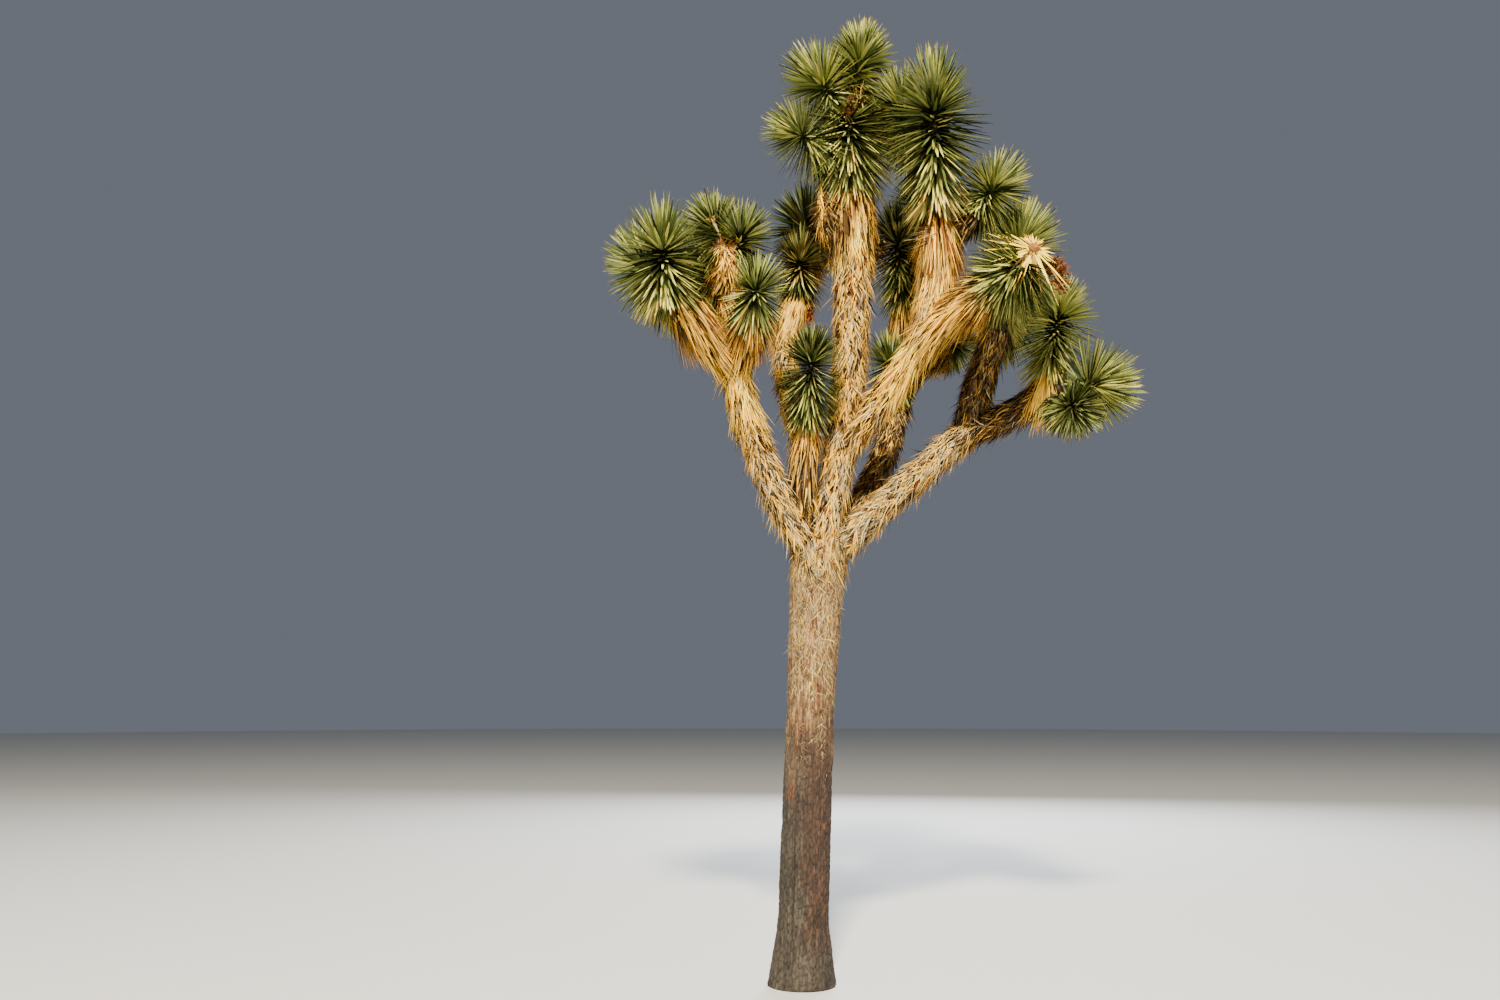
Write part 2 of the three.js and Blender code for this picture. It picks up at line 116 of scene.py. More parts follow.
# name, the bough it grows on, where its stem starts along that bough, its growing tip, its leaves' length
HEADS = [
    ("left_head", "left_arm", 1, (-0.741, -0.55, 3.875), 0.32),
    ("left_outer_head", "left_arm", 0.9, (-0.868, -0.19, 3.9), 0.29),
    ("left_back_head", "left_stub", 0.45, (-0.6, 0.06, 4.01), 0.28),
    ("left_high_head", "left_stub", 0.82, (-0.478, -0.07, 4.175), 0.25),
    ("left_small_head", "left_stub", 0.76, (-0.318, -0.19, 4.072), 0.23),
    ("left_front_head", "left_inner_arm", 1, (-0.241, -0.56, 3.64), 0.215),
    ("mid_front_head", "mid_left_bough", 1, (0.068, -0.24, 3.37), 0.19),
    ("mid_head", "mid_left_arm", 1, (0.028, 0.29, 4.11), 0.23),
    ("mid_back_head", "mid_back_arm", 1, (0.09, 0.6, 4.45), 0.28),
    ("crown_head", "crown_stem", 0, (0.304, -0.04, 4.84), 0.29),
    ("top_head", "crown_stem", 1, (0.392, 0.08, 5.3), 0.28),
    ("top_left_head", "crown_stem", 0.92, (0.136, -0.03, 5.075), 0.29),
    ("top_side_head", "crown_stem", 0.4, (-0.01, -0.11, 4.72), 0.23),
    ("top_back_head", "crown_stem", 0.86, (0.47, 0.42, 5.03), 0.28),
    ("right_head", "right_column", 1, (0.74, -0.42, 4.8), 0.33),
    ("right_back_head", "right_back_arm", 1, (0.618, 0.02, 4.96), 0.27),
    ("right_high_head", "right_high_arm", 1, (1.119, -0.2, 4.362), 0.25),
    ("right_side_head", "side_stem", 0, (1.21, -0.518, 3.78), 0.27),
    ("riser_head", "low_right_riser", 1, (1.308, 0.06, 4.142), 0.28),
    ("riser_back_head", "low_right_riser", 0.96, (1.3, 0.33, 3.98), 0.25),
    ("low_right_head", "low_right_arm", 1, (1.53, 0.09, 3.736), 0.225),
    ("low_outer_head", "low_right_arm", 0.98, (1.66, -0.1, 3.22), 0.29),
    ("low_under_head", "low_right_arm", 0.98, (1.527, -0.17, 3.07), 0.2),
    ("back_left_head", "back_left_arm", 0.94, (0.64, 0.52, 4.34), 0.26),
    ("back_low_head", "back_left_arm", 0.3, (0.567, 0.42, 3.52), 0.21),
    ("back_right_head", "back_right_arm", 1, (1.028, 0.7, 3.702), 0.2),
    ("far_right_head", "far_right_arm", 1, (1.4, 0.62, 3.86), 0.26),
    ("far_back_head", "far_back_arm", 1, (0.85, 0.79, 4.68), 0.27),
]
# Heads whose leaves stand on a limb instead of a stem of their own
SLEEVED = {"crown_head": "crown_stem", "right_side_head": "side_stem"}
GOLDEN_ANGLE = math.pi * (3 - math.sqrt(5))
DOWN = np.array([0, 0, -1.0])


def unit(vectors):
    """Vectors made one long, each divided by its own length."""
    vectors = np.asarray(vectors, float)
    return vectors / np.maximum(np.linalg.norm(vectors, axis=-1, keepdims=True), 1e-9)


def mix(a, b, share):
    """The value that lies a share of the way from a to b."""
    return a + (b - a) * share


def smooth_step(low, high, value):
    """0 below low, 1 above high and an S-shaped rise between them."""
    share = np.clip((value - low) / (high - low), 0, 1)
    return share * share * (3 - 2 * share)


def plain(red, green, blue):
    """A colour as the eye reads it, 0 to 255, turned into light values for a shader."""
    share = np.array([red, green, blue]) / 255
    return tuple(np.where(share < 0.04045, share / 12.92, ((share + 0.055) / 1.055) ** 2.4))


# Limbs


def limb_line(start, end, bow, count=81):
    """A curve of second degree from start to end whose middle is pushed aside by the bow, at even
    steps of its own length, with its forward, across and up directions at each step."""
    start, end, bow = (np.array(p, float) for p in (start, end, bow))
    control = (start + end) / 2 + 2 * bow
    t = np.linspace(0, 1, 400)[:, None]
    fine = (1 - t) ** 2 * start + 2 * t * (1 - t) * control + t**2 * end
    run = np.concatenate([[0], np.cumsum(np.linalg.norm(np.diff(fine, axis=0), axis=1))])
    even = np.linspace(0, run[-1], count)
    middle = np.stack([np.interp(even, run, fine[:, k]) for k in range(3)], axis=1)
    forward = unit(np.gradient(middle, axis=0))
    aside = np.eye(3)[np.argmin(np.abs(forward.mean(axis=0)))]
    across = unit(np.cross(forward, aside))
    return {
        "share": np.linspace(0, 1, count),
        "middle": middle,
        "forward": forward,
        "across": across,
        "up": np.cross(across, forward),
        "length": run[-1],
    }


def on_limb(limb, share, key):
    """What a limb holds at shares of its length: its middle, a direction or its radius."""
    values = limb[key]
    if values.ndim == 1:
        return np.interp(share, limb["share"], values)
    return np.stack([np.interp(share, limb["share"], values[:, k]) for k in range(3)], axis=-1)


def trunk_radius(height):
    """The trunk's radius at a height: the flare falls as a power of 1.6 over the shaft's slow taper
    to its waist, and above the waist it widens evenly to the crotch."""
    flare = np.clip(1 - height / FLARE_HEIGHT, 0, None) ** 1.6
    foot = SHAFT_FOOT_RADIUS + (FLARE_RADIUS - SHAFT_FOOT_RADIUS) * flare
    below = mix(foot, WAIST_RADIUS, np.clip(height / WAIST_HEIGHT, 0, 1) ** 2)
    rise = (height - WAIST_HEIGHT) / (TRUNK_TOP[2] - WAIST_HEIGHT)
    return np.where(height < WAIST_HEIGHT, below, mix(WAIST_RADIUS, CROTCH_RADIUS, rise))


trunk = limb_line((0, 0, 0), TRUNK_TOP, TRUNK_BOW)
trunk["radius"] = trunk_radius(trunk["share"] * TRUNK_TOP[2])
limbs = {"trunk": trunk}
weathering = {"trunk": 1.0}
for name, place_from, place_to, bow, root, skirt, age in BOUGHS:
    limb = limb_line(PLACES[place_from], PLACES[place_to], bow)
    limb["radius"] = mix(root, skirt, limb["share"] ** SKIRT_POWER)
    limbs[name] = limb
    weathering[name] = age

# Where a head's stem starts off its bough's line
FEET = {"left_head": (-0.715, -0.5, 3.54)}
stems = {}
for name, bough, start, tip, leaf in HEADS:
    foot = np.array(FEET.get(name, on_limb(limbs[bough], start, "middle")))
    stems[name] = {"foot": foot, "tip": np.array(tip), "leaf": leaf}

# Meshes from arrays


def make_piece(name, surface, finishes, smooth=False, marks=None):
    """Puts a surface into a mesh object. A surface is its points, the corners of its faces in turn,
    each face's count of corners and each face's finish. marks holds named numbers on the points."""
    points, corners, sizes, parts = surface
    mesh = bpy.data.meshes.new(name)
    mesh.vertices.add(len(points))
    mesh.vertices.foreach_set("co", np.ascontiguousarray(points, np.float32).ravel())
    mesh.loops.add(len(corners))
    mesh.loops.foreach_set("vertex_index", np.ascontiguousarray(corners, np.int32))
    mesh.polygons.add(len(sizes))
    mesh.polygons.foreach_set("loop_start", np.concatenate([[0], np.cumsum(sizes)[:-1]]).astype(np.int32))
    for finish in finishes:
        mesh.materials.append(finish)
    mesh.polygons.foreach_set("material_index", np.ascontiguousarray(parts, np.int32))
    mesh.polygons.foreach_set("use_smooth", np.full(len(sizes), smooth))
    for mark, numbers in (marks or {}).items():
        layer = mesh.attributes.new(mark, "FLOAT", "POINT")
        layer.data.foreach_set("value", np.ascontiguousarray(numbers, np.float32))
    mesh.update(calc_edges=True)
    piece = bpy.data.objects.new(name, mesh)
    bpy.context.scene.collection.objects.link(piece)
    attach(piece, "root")
    return piece


def joined(surfaces):
    """Several surfaces as one, each one's corners counted on from the points before it."""
    starts = np.cumsum([0] + [len(surface[0]) for surface in surfaces])
    points, corners, sizes, parts = zip(*surfaces)
    corners = [own + start for own, start in zip(corners, starts)]
    return tuple(np.concatenate(each) for each in (points, corners, sizes, parts))


def tube(points, finish=0):
    """A closed tube through rings of points, one row a ring: four-sided faces between rings and a
    many-sided face over each end. Faces point outwards where a ring turns counter-clockwise, seen
    from the last ring."""
    rows, columns = points.shape[:2]
    row, column = np.meshgrid(np.arange(rows - 1), np.arange(columns), indexing="ij")
    low, high = row * columns, (row + 1) * columns
    beside = (column + 1) % columns
    quads = np.stack([low + column, low + beside, high + beside, high + column], axis=-1)
    start = np.arange(columns)[::-1]
    end = (rows - 1) * columns + np.arange(columns)
    corners = np.concatenate([quads.ravel(), start, end])
    sizes = np.concatenate([np.full(quads.size // 4, 4), [columns, columns]])
    return points.reshape(-1, 3), corners, sizes, np.full(len(sizes), finish)


def ring_grid(rows, columns):
    """The share of the way up, from 0 to 1, and the angle round, at each point of a tube."""
    share = np.linspace(0, 1, rows)[:, None] * np.ones(columns)
    angle = np.ones(rows)[:, None] * np.linspace(0, 2 * math.pi, columns, endpoint=False)
    return share, angle


def square_to(axis, aside=(1, 0, 0)):
    """Two directions square to an axis and to each other, the first of them square to aside too."""
    across = unit(np.cross(axis, aside))
    return across, np.cross(axis, across)


def turned(across, up, angle):
    """Directions at angles round an axis: across times the cosine and up times the sine."""
    return across * np.cos(angle)[..., None] + up * np.sin(angle)[..., None]


def daggers(roots, ways, flats, lengths, widths, bends, outline, keel):
    """The points of three-sided leaves, each along its middle line root + way * length * s + bend *
    s * s for s from 0 to 1. The outline lists stations (s, share of the full width); a station has
    two edges at half the width to either side and a keel below, and the last is the leaf's point."""
    stations = np.array(outline[:-1])
    share = stations[:, 0][None, :, None]
    half = (widths[:, None] * stations[:, 1] / 2)[..., None]
    sides = unit(np.cross(ways, flats))
    flats = unit(np.cross(sides, ways))
    middle = roots[:, None] + ways[:, None] * lengths[:, None, None] * share + bends[:, None] * share**2
    left, right = middle + sides[:, None] * half, middle - sides[:, None] * half
    rings = np.stack([left, right, middle - flats[:, None] * half * keel], axis=2)
    tips = (roots + ways * lengths[:, None] + bends)[:, None]
    return np.concatenate([rings.reshape(len(roots), -1, 3), tips], axis=1).reshape(-1, 3)


def dagger_faces(leaves, stations, tints, tip_tint=None, foot_tint=None):
    """Corners, sizes and finishes for daggers: four-sided faces between rings, three at the point and
    one across the foot. A leaf's faces take its tint, its point and its foot may take their own."""
    rings = stations - 1
    around = ((0, 1), (1, 2), (2, 0))
    faces, kinds = [], []
    for ring in range(rings - 1):
        low, high = ring * 3, ring * 3 + 3
        faces += [[low + edge, low + beside, high + beside, high + edge] for edge, beside in around]
        kinds += ["foot" if ring == 0 else "blade"] * 3
    last = (rings - 1) * 3
    faces += [[last + edge, last + beside, last + 3] for edge, beside in around]
    kinds += ["tip"] * 3
    faces.append([2, 1, 0])
    kinds.append("foot")
    sizes = np.tile([len(face) for face in faces], leaves)
    corners = (np.concatenate(faces)[None] + (np.arange(leaves) * (last + 4))[:, None]).ravel()
    parts = np.repeat(tints[:, None], len(kinds), axis=1)
    if tip_tint is not None:
        parts[:, [kind == "tip" for kind in kinds]] = tip_tint
    if foot_tint is not None:
        parts[:, [kind == "foot" for kind in kinds]] = np.reshape(foot_tint, (-1, 1))
    return corners, sizes, parts.ravel()


# Finishes


def new_finish(name, roughness):
    """A finish of the given roughness, with its node tree and its shader."""
    finish = bpy.data.materials.new(name)
    finish.use_nodes = True
    shader = finish.node_tree.nodes["Principled BSDF"]
    shader.inputs["Roughness"].default_value = roughness
    return finish, finish.node_tree, shader


def leaf_finish(name, colour, roughness):
    """One plain colour, dealt out leaf by leaf, without a gloss that would whiten thin edges."""
    finish, _, shader = new_finish(name, roughness)
    shader.inputs["Base Color"].default_value = (*colour, 1)
    shader.inputs["Specular IOR Level"].default_value = 0
    return finish


def noise(tree, place, scale, detail=6, distortion=0.0, stretch=(1, 1, 1)):
    """A noise of the piece's own coordinates, drawn out along an axis by the stretch."""
    mapping = tree.nodes.new("ShaderNodeMapping")
    mapping.inputs["Scale"].default_value = stretch
    tree.links.new(place, mapping.inputs["Vector"])
    texture = tree.nodes.new("ShaderNodeTexNoise")
    texture.inputs["Scale"].default_value = scale
    texture.inputs["Detail"].default_value = detail
    texture.inputs["Distortion"].default_value = distortion
    tree.links.new(mapping.outputs["Vector"], texture.inputs["Vector"])
    return texture.outputs["Fac"]


def ramp(tree, value, stops):
    """Colours at places along a value from 0 to 1, lowest first. A new ramp has two stops."""
    node = tree.nodes.new("ShaderNodeValToRGB")
    for number, (place, colour) in enumerate(stops):
        if number < 2:
            element = node.color_ramp.elements[number]
            element.position = place
        else:
            element = node.color_ramp.elements.new(place)
        element.color = (*colour, 1)
    tree.links.new(value, node.inputs["Fac"])
    return node.outputs["Color"]


def blend_colours(tree, share, first, second, way="MIX"):
    """The second colour over the first by a share, a number or another node's value."""
    node = tree.nodes.new("ShaderNodeMix")
    node.data_type = "RGBA"
    node.blend_type = way
    if isinstance(share, float):
        node.inputs["Factor"].default_value = share
    else:
        tree.links.new(share, node.inputs["Factor"])
    tree.links.new(first, node.inputs["A"])
    tree.links.new(second, node.inputs["B"])
    return node.outputs["Result"]


def bump(tree, shader, height, strength, distance):
    """Fine relief that only the light sees."""
    node = tree.nodes.new("ShaderNodeBump")
    node.inputs["Strength"].default_value = strength
    node.inputs["Distance"].default_value = distance
    tree.links.new(height, node.inputs["Height"])
    tree.links.new(node.outputs["Normal"], shader.inputs["Normal"])


# Ramps of the bark: brown and grey plates from the lowest to the highest tone, their own colours kept dark
# as painted shade of the lower trunk, and fibres of worn leaf bases and of rusty bark from their dark lines
# to their light ones
BROWN_PLATES = ((0.0, plain(28, 19, 13)), (0.5, plain(54, 36, 25)), (1.0, plain(92, 62, 42)))
GREY_PLATES = ((0.0, plain(36, 32, 27)), (0.5, plain(60, 54, 46)), (1.0, plain(92, 84, 73)))
WORN_FIBRES = ((0.34, plain(58, 41, 24)), (0.5, plain(115, 84, 52)), (0.68, plain(181, 146, 97)))
RUSTY_FIBRES = ((0.3, plain(62, 34, 19)), (0.7, plain(122, 68, 37)))
# How far bark has flaked off, and how much light the cracks and the grain leave
FLAKED = ((0.42, (0, 0, 0)), (0.6, (0.85, 0.85, 0.85)))
CRACK_SHADE = ((0.0, (1, 1, 1)), (0.45, (0.6, 0.55, 0.5)), (1.0, (0.16, 0.13, 0.11)))
GRAIN_SHADE = ((0.3, (0.62, 0.6, 0.58)), (0.7, (1.3, 1.28, 1.25)))
LUMP_SHADE = ((0.3, (0.6, 0.58, 0.56)), (0.7, (1.1, 1.08, 1.05)))


def bark_finish():
    """Small corky plates, each of its own tone: reddish brown, or grey where the trunk's greyness says
    so, turning to the tan fibres of worn leaf bases above. Rusty where bark has flaked off, and dark
    in the cracks."""
    finish, tree, shader = new_finish("corky_bark", 0.93)
    place = tree.nodes.new("ShaderNodeTexCoord").outputs["Object"]

    def mark(name):
        """Numbers that the mesh holds on its points."""
        node = tree.nodes.new("ShaderNodeAttribute")
        node.attribute_name = name
        return node.outputs["Fac"]

    grain = noise(tree, place, 170, 5, 0.2, (1, 1, 0.25))
    fibres = noise(tree, place, 80, 6, 0.4, (1, 1, 0.12))
    brown = ramp(tree, mark("tone"), BROWN_PLATES)
    grey = ramp(tree, mark("tone"), GREY_PLATES)
    worn = ramp(tree, fibres, WORN_FIBRES)
    rusty = ramp(tree, fibres, RUSTY_FIBRES)
    flaked = ramp(tree, noise(tree, place, 26, 5, 0.8, (1, 1, 0.5)), FLAKED)
    rust_share = blend_colours(tree, 1.0, mark("rust"), flaked, "MULTIPLY")
    colour = blend_colours(tree, mark("greyness"), brown, grey)
    colour = blend_colours(tree, mark("wornness"), colour, worn)
    colour = blend_colours(tree, rust_share, colour, rusty)
    colour = blend_colours(tree, 1.0, colour, ramp(tree, mark("crack"), CRACK_SHADE), "MULTIPLY")
    colour = blend_colours(tree, 1.0, colour, ramp(tree, grain, GRAIN_SHADE), "MULTIPLY")
    tree.links.new(colour, shader.inputs["Base Color"])
    bump(tree, shader, grain, 0.7, 0.004)
    return finish


def bough_finish(name, dark, light):
    """Old leaf bases close under the thatch: stripes of dark and light along the bough."""
    finish, tree, shader = new_finish(name, 0.95)
    place = tree.nodes.new("ShaderNodeTexCoord").outputs["Object"]
    fibres = noise(tree, place, 60, 6, 0.5, (1, 1, 0.3))
    lumps = noise(tree, place, 14, 4, 0.3)
    stripes = ramp(tree, fibres, ((0.34, dark), (0.7, light)))
    colour = blend_colours(tree, 1.0, stripes, ramp(tree, lumps, LUMP_SHADE), "MULTIPLY")
    tree.links.new(colour, shader.inputs["Base Color"])
    bump(tree, shader, fibres, 0.8, 0.006)
    return finish


corky_bark = bark_finish()
bough_wood = bough_finish("leaf_base_wood", plain(58, 40, 27), plain(128, 98, 66))
head_stem = bough_finish("head_stem_wood", plain(28, 28, 15), plain(70, 62, 34))

# blade_foot is painted shade on the feet of leaves where they crowd round the stem, and also a dark colour
# of dead leaves
GREENS = [
    leaf_finish("blade_" + name, plain(*colour), roughness) for name, colour, roughness in (
        ("deep", (34, 38, 18), 0.78),
        ("green", (80, 91, 45), 0.75),
        ("olive", (122, 128, 64), 0.75),
        ("pale", (164, 167, 90), 0.78),
        ("yellow", (195, 185, 94), 0.78),
        ("grey", (130, 137, 93), 0.74),
        ("straw", (204, 167, 84), 0.8),
        ("point", (114, 98, 50), 0.78),
        ("foot", (28, 25, 12), 0.8),
        ("shade", (44, 54, 31), 0.78),
    )
]
DEEP, GREEN, OLIVE, PALE, YELLOW, GREY_GREEN, STRAW_LEAF, POINT, FOOT, SHADE = range(len(GREENS))
# Shares of the first six greens, in the brush of leaves at a head's tip and among drooping leaves. The
# brush's grey share is partly their own colour and partly a painted sheen of the sky; among drooping
# leaves the larger deep share is partly their own colour and partly painted shade between them, and the
# larger pale and yellow shares partly their own colour and partly painted light on their lit faces
BRUSH_SHARES = np.array([0.09, 0.27, 0.32, 0.08, 0.02, 0.22])
DROOPING_SHARES = np.array([0.34, 0.17, 0.19, 0.2, 0.1, 0])
# Shares of a head's dead leaves, of those that paint shade on it and of those that paint light on it
FADED_SHARES = {POINT: 0.45, FOOT: 0.4, STRAW_LEAF: 0.15}
SHADED_HEAD_SHARES = {DEEP: 0.4, GREEN: 0.25, SHADE: 0.2, POINT: 0.15}
LIT_HEAD_SHARES = {PALE: 0.45, OLIVE: 0.4, YELLOW: 0.15}

DEAD = [
    leaf_finish("dead_" + name, plain(*colour), roughness) for name, colour, roughness in (
        ("gold", (236, 178, 55), 0.8),
        ("straw", (212, 163, 62), 0.82),
        ("tan", (157, 122, 59), 0.85),
        ("grey", (124, 112, 88), 0.9),
        ("silver", (187, 166, 118), 0.88),
        ("brown", (75, 55, 31), 0.9),
        ("rust", (112, 60, 28), 0.85),
        ("dark", (27, 20, 13), 0.92),
        ("bleached", (236, 207, 76), 0.8),
        ("rose", (138, 92, 54), 0.85),
    )
]
GOLD, STRAW, TAN, GREY, SILVER, BROWN, RUST, DARK, BLEACHED, ROSE = range(len(DEAD))
# Shares of the first eight dead colours: freshly dead, old, dark as painted shade on a bough in the crown's
# shade, and dark as painted shade in the hollows of the thatch
FRESH_SHARES = np.array([0.27, 0.22, 0.18, 0.02, 0.03, 0.14, 0.05, 0.09])
OLD_SHARES = np.array([0.1, 0.18, 0.18, 0.17, 0.17, 0.11, 0.02, 0.07])
SHADED_LIMB_SHARES = np.array([0.01, 0.03, 0.12, 0.1, 0.02, 0.36, 0.05, 0.31])
HOLLOW_SHADE_SHARES = np.array([0, 0.03, 0.15, 0.1, 0, 0.33, 0.07, 0.32])


def by_shares(count, shares):
    """A colour's number for each of count leaves, drawn by chance in shares that are the same for all
    leaves or given leaf by leaf."""
    shares = np.broadcast_to(shares, (count, np.shape(shares)[-1]))
    ladder = np.cumsum(shares / shares.sum(axis=1, keepdims=True), axis=1)
    return np.minimum((draw.random(count)[:, None] > ladder).sum(axis=1), shares.shape[1] - 1)


def pick_tints(count, shares):
    """Colours drawn by chance in the shares given, from each colour's number to its share."""
    chances = np.array(list(shares.values()))
    return draw.choice(list(shares), count, p=chances / chances.sum())


def by_ladder(ladder, levels):
    """The colour of the first step of a ladder that is not below the level."""
    limits, tints = zip(*ladder)
    return np.array(tints)[np.searchsorted(limits, levels)]


def dead_tints(count, age):
    """Each dead leaf's colour, dealt out by chance in shares that its age mixes from fresh and old."""
    ages = np.broadcast_to(np.asarray(age, float), count)[:, None]
    return by_shares(count, mix(FRESH_SHARES, OLD_SHARES, ages))


# The trunk's skin

TRUNK_RINGS = 370
TRUNK_COLUMNS = 220
# How many cells of each pattern of cracks go round the trunk, and how tall one is
PLATES = (52, 0.05)
FINE_PLATES = (104, 0.034)
FURROWS = (17, 0.4)
# How deep the cracks of each pattern and the groove are, how much the levels of plates differ, and how
# high the slow lumps and the ridges of the flared foot stand
CRACK_DEPTH = 0.006
FINE_CRACK_DEPTH = 0.002
FURROW_DEPTH = 0.005
GROOVE_DEPTH = 0.008
PLATE_LEVELS = 0.003
FINE_PLATE_LEVELS = 0.001
LUMP_HEIGHT = 0.003
RIDGE_HEIGHT = 0.01
# How far the top draws in under the boughs, and how far the skin lies inside the trunk's own radius
SHOULDER = 0.05
SKIN_INSET = 0.002
# Spots on the trunk: the angle round it, where 270 degrees is the front, height, half width in
# radians and half height
GROOVE = [(242, 0.55, 0.07, 0.34)]
RUST_SPOTS = [
    (256, 2.08, 0.45, 0.1), (262, 1.92, 0.3, 0.1), (240, 1.3, 0.35, 0.13), (228, 1.0, 0.3, 0.1),
    (285, 1.5, 0.22, 0.14), (250, 1.65, 0.25, 0.12), (110, 1.2, 0.5, 0.2),
    (60, 1.8, 0.5, 0.2), (170, 1.6, 0.4, 0.2), (20, 0.8, 0.4, 0.2),
]
# The side of the trunk that is grey
GREY_SIDE = math.radians(192)


def plates_at(angle, height, around, tall):
    """Cracks between bark plates. Each cell of a grid, around cells round and each tall high, holds
    one centre pushed about; a point's crack is how nearly its two closest centres are as far off."""
    rows = int(math.ceil(TRUNK_TOP[2] / tall)) + 4
    push = draw.random((rows, around, 2)) * (0.36, 0.7) + (0.32, 0.15)
    level = draw.random((rows, around))
    stagger = draw.random(around)
    across = (angle / (2 * math.pi)) * around
    nearest = np.full(angle.shape, 9.0)
    second = np.full(angle.shape, 9.0)
    plate = np.zeros(angle.shape)
    for column_step in (-1, 0, 1):
        column = np.floor(across).astype(int) + column_step
        upward = height / tall + 1 + stagger[column % around]
        for row_step in (-1, 0, 1):
            row = np.clip(np.floor(upward).astype(int) + row_step, 0, rows - 1)
            centre = push[row, column % around]
            off = np.hypot(column + centre[..., 0] - across, (row + centre[..., 1] - upward))
            closer = off < nearest
            second = np.where(closer, nearest, np.minimum(second, off))
            plate = np.where(closer, level[row, column % around], plate)
            nearest = np.where(closer, off, nearest)
    return second - nearest, plate


def waves(angle, height, count, finest):
    """A sum of count sine waves round and up the trunk, of seeded frequencies and phases."""
    total = np.zeros(angle.shape)
    for _ in range(count):
        turns = draw.integers(1, finest)
        rise = draw.normal(0, finest * 1.2)
        total += np.sin(turns * angle + rise * height + draw.random() * 2 * math.pi) / turns**0.6
    return total / math.sqrt(count)


def spots(angle, height, places):
    """Soft spots round the trunk, each at an angle in degrees and a height, so wide and so tall: the
    largest over the spots of e to minus the squared distance, counted in the spot's own sizes."""
    total = np.zeros(angle.shape)
    for degrees, level, wide, tall in places:
        across = (angle - math.radians(degrees) + math.pi) % (2 * math.pi) - math.pi
        total = np.maximum(total, np.exp(-((across / wide) ** 2) - ((height - level) / tall) ** 2))
    return total


def trunk_skin():
    """Rings round the trunk's bowed line. A ring's radius is the trunk's own, less a groove along
    each crack between plates, with plates at slightly different levels and slow lumps over all. The
    relief dies out at the flat foot, and the top draws in under the boughs."""
    share, angle = ring_grid(TRUNK_RINGS, TRUNK_COLUMNS)
    height = share * TRUNK_TOP[2]
    shake = 0.012 * np.sin(60 * height + 5 * angle) + 0.008 * np.sin(140 * height - 9 * angle)
    gap, plate = plates_at(angle + 0.04 * np.sin(9 * height) + shake, height, *PLATES)
    fine_gap, fine_plate = plates_at(angle + shake, height, *FINE_PLATES)
    furrow_gap, _ = plates_at(angle + 0.08 * np.sin(5 * height), height, *FURROWS)
    crack = np.exp(-gap / 0.12)
    fine_crack = np.exp(-fine_gap / 0.12)
    furrow = np.exp(-furrow_gap / 0.07)
    groove = spots(angle, height, GROOVE)
    slow = waves(angle, height, 24, 9)
    ridges = np.sin(4 * angle + 0.7 + 0.5 * np.sin(2 * angle))
    relief = LUMP_HEIGHT * slow + PLATE_LEVELS * plate + FINE_PLATE_LEVELS * fine_plate
    relief = relief + RIDGE_HEIGHT * ridges * smooth_step(0.45, 0.05, height)
    relief = relief - CRACK_DEPTH * crack - FINE_CRACK_DEPTH * fine_crack
    relief = relief - FURROW_DEPTH * furrow - GROOVE_DEPTH * groove
    calm = smooth_step(0, 0.012, height)
    shoulder = SHOULDER * smooth_step(TRUNK_TOP[2] - 0.09, TRUNK_TOP[2], height)
    radius = trunk_radius(height) + relief * calm - shoulder - SKIN_INSET
    out = np.stack([np.cos(angle), np.sin(angle), 0 * angle], axis=-1)
    points = on_limb(trunk, share, "middle") + radius[..., None] * out
    side = 0.5 + 0.6 * np.cos(angle - GREY_SIDE) + 0.2 * slow
    foot_grey = 0.7 * smooth_step(0.34, 0.1, height + 0.04 * slow)
    worn = smooth_step(0.95, 1.7, height + 0.16 * slow)
    flaked = spots(angle + 0.06 * slow, height + 0.03 * slow, RUST_SPOTS)
    cracks = crack * 0.75 + fine_crack * 0.3 + furrow * 0.4
    marks = {
        "crack": np.clip(cracks * (1 - 0.5 * worn) + 0.7 * groove, 0, 1),
        "tone": np.clip(0.4 * plate + 0.35 * fine_plate + 0.12 + 0.12 * slow, 0, 1),
        "greyness": np.clip(smooth_step(0.55, 0.95, side) * 0.9 + foot_grey + 0.12, 0, 1),
        "wornness": np.clip(worn, 0, 1),
        "rust": smooth_step(0.15, 0.85, flaked),
    }
    marks = {name: numbers.ravel() for name, numbers in marks.items()}
    piece = make_piece("trunk_bark", tube(points), [corky_bark], smooth=True, marks=marks)
    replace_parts(piece, "trunk")


# The wood of a bough under its thatch: its share of the bough's radius, its ripples' and rings' shares,
# points round it and the step between its rings
WOOD_SHARE = 0.8
RIPPLE_SHARE = 0.03
RING_SHARE = 0.025
WOOD_COLUMNS = 26
WOOD_STEP = 0.012


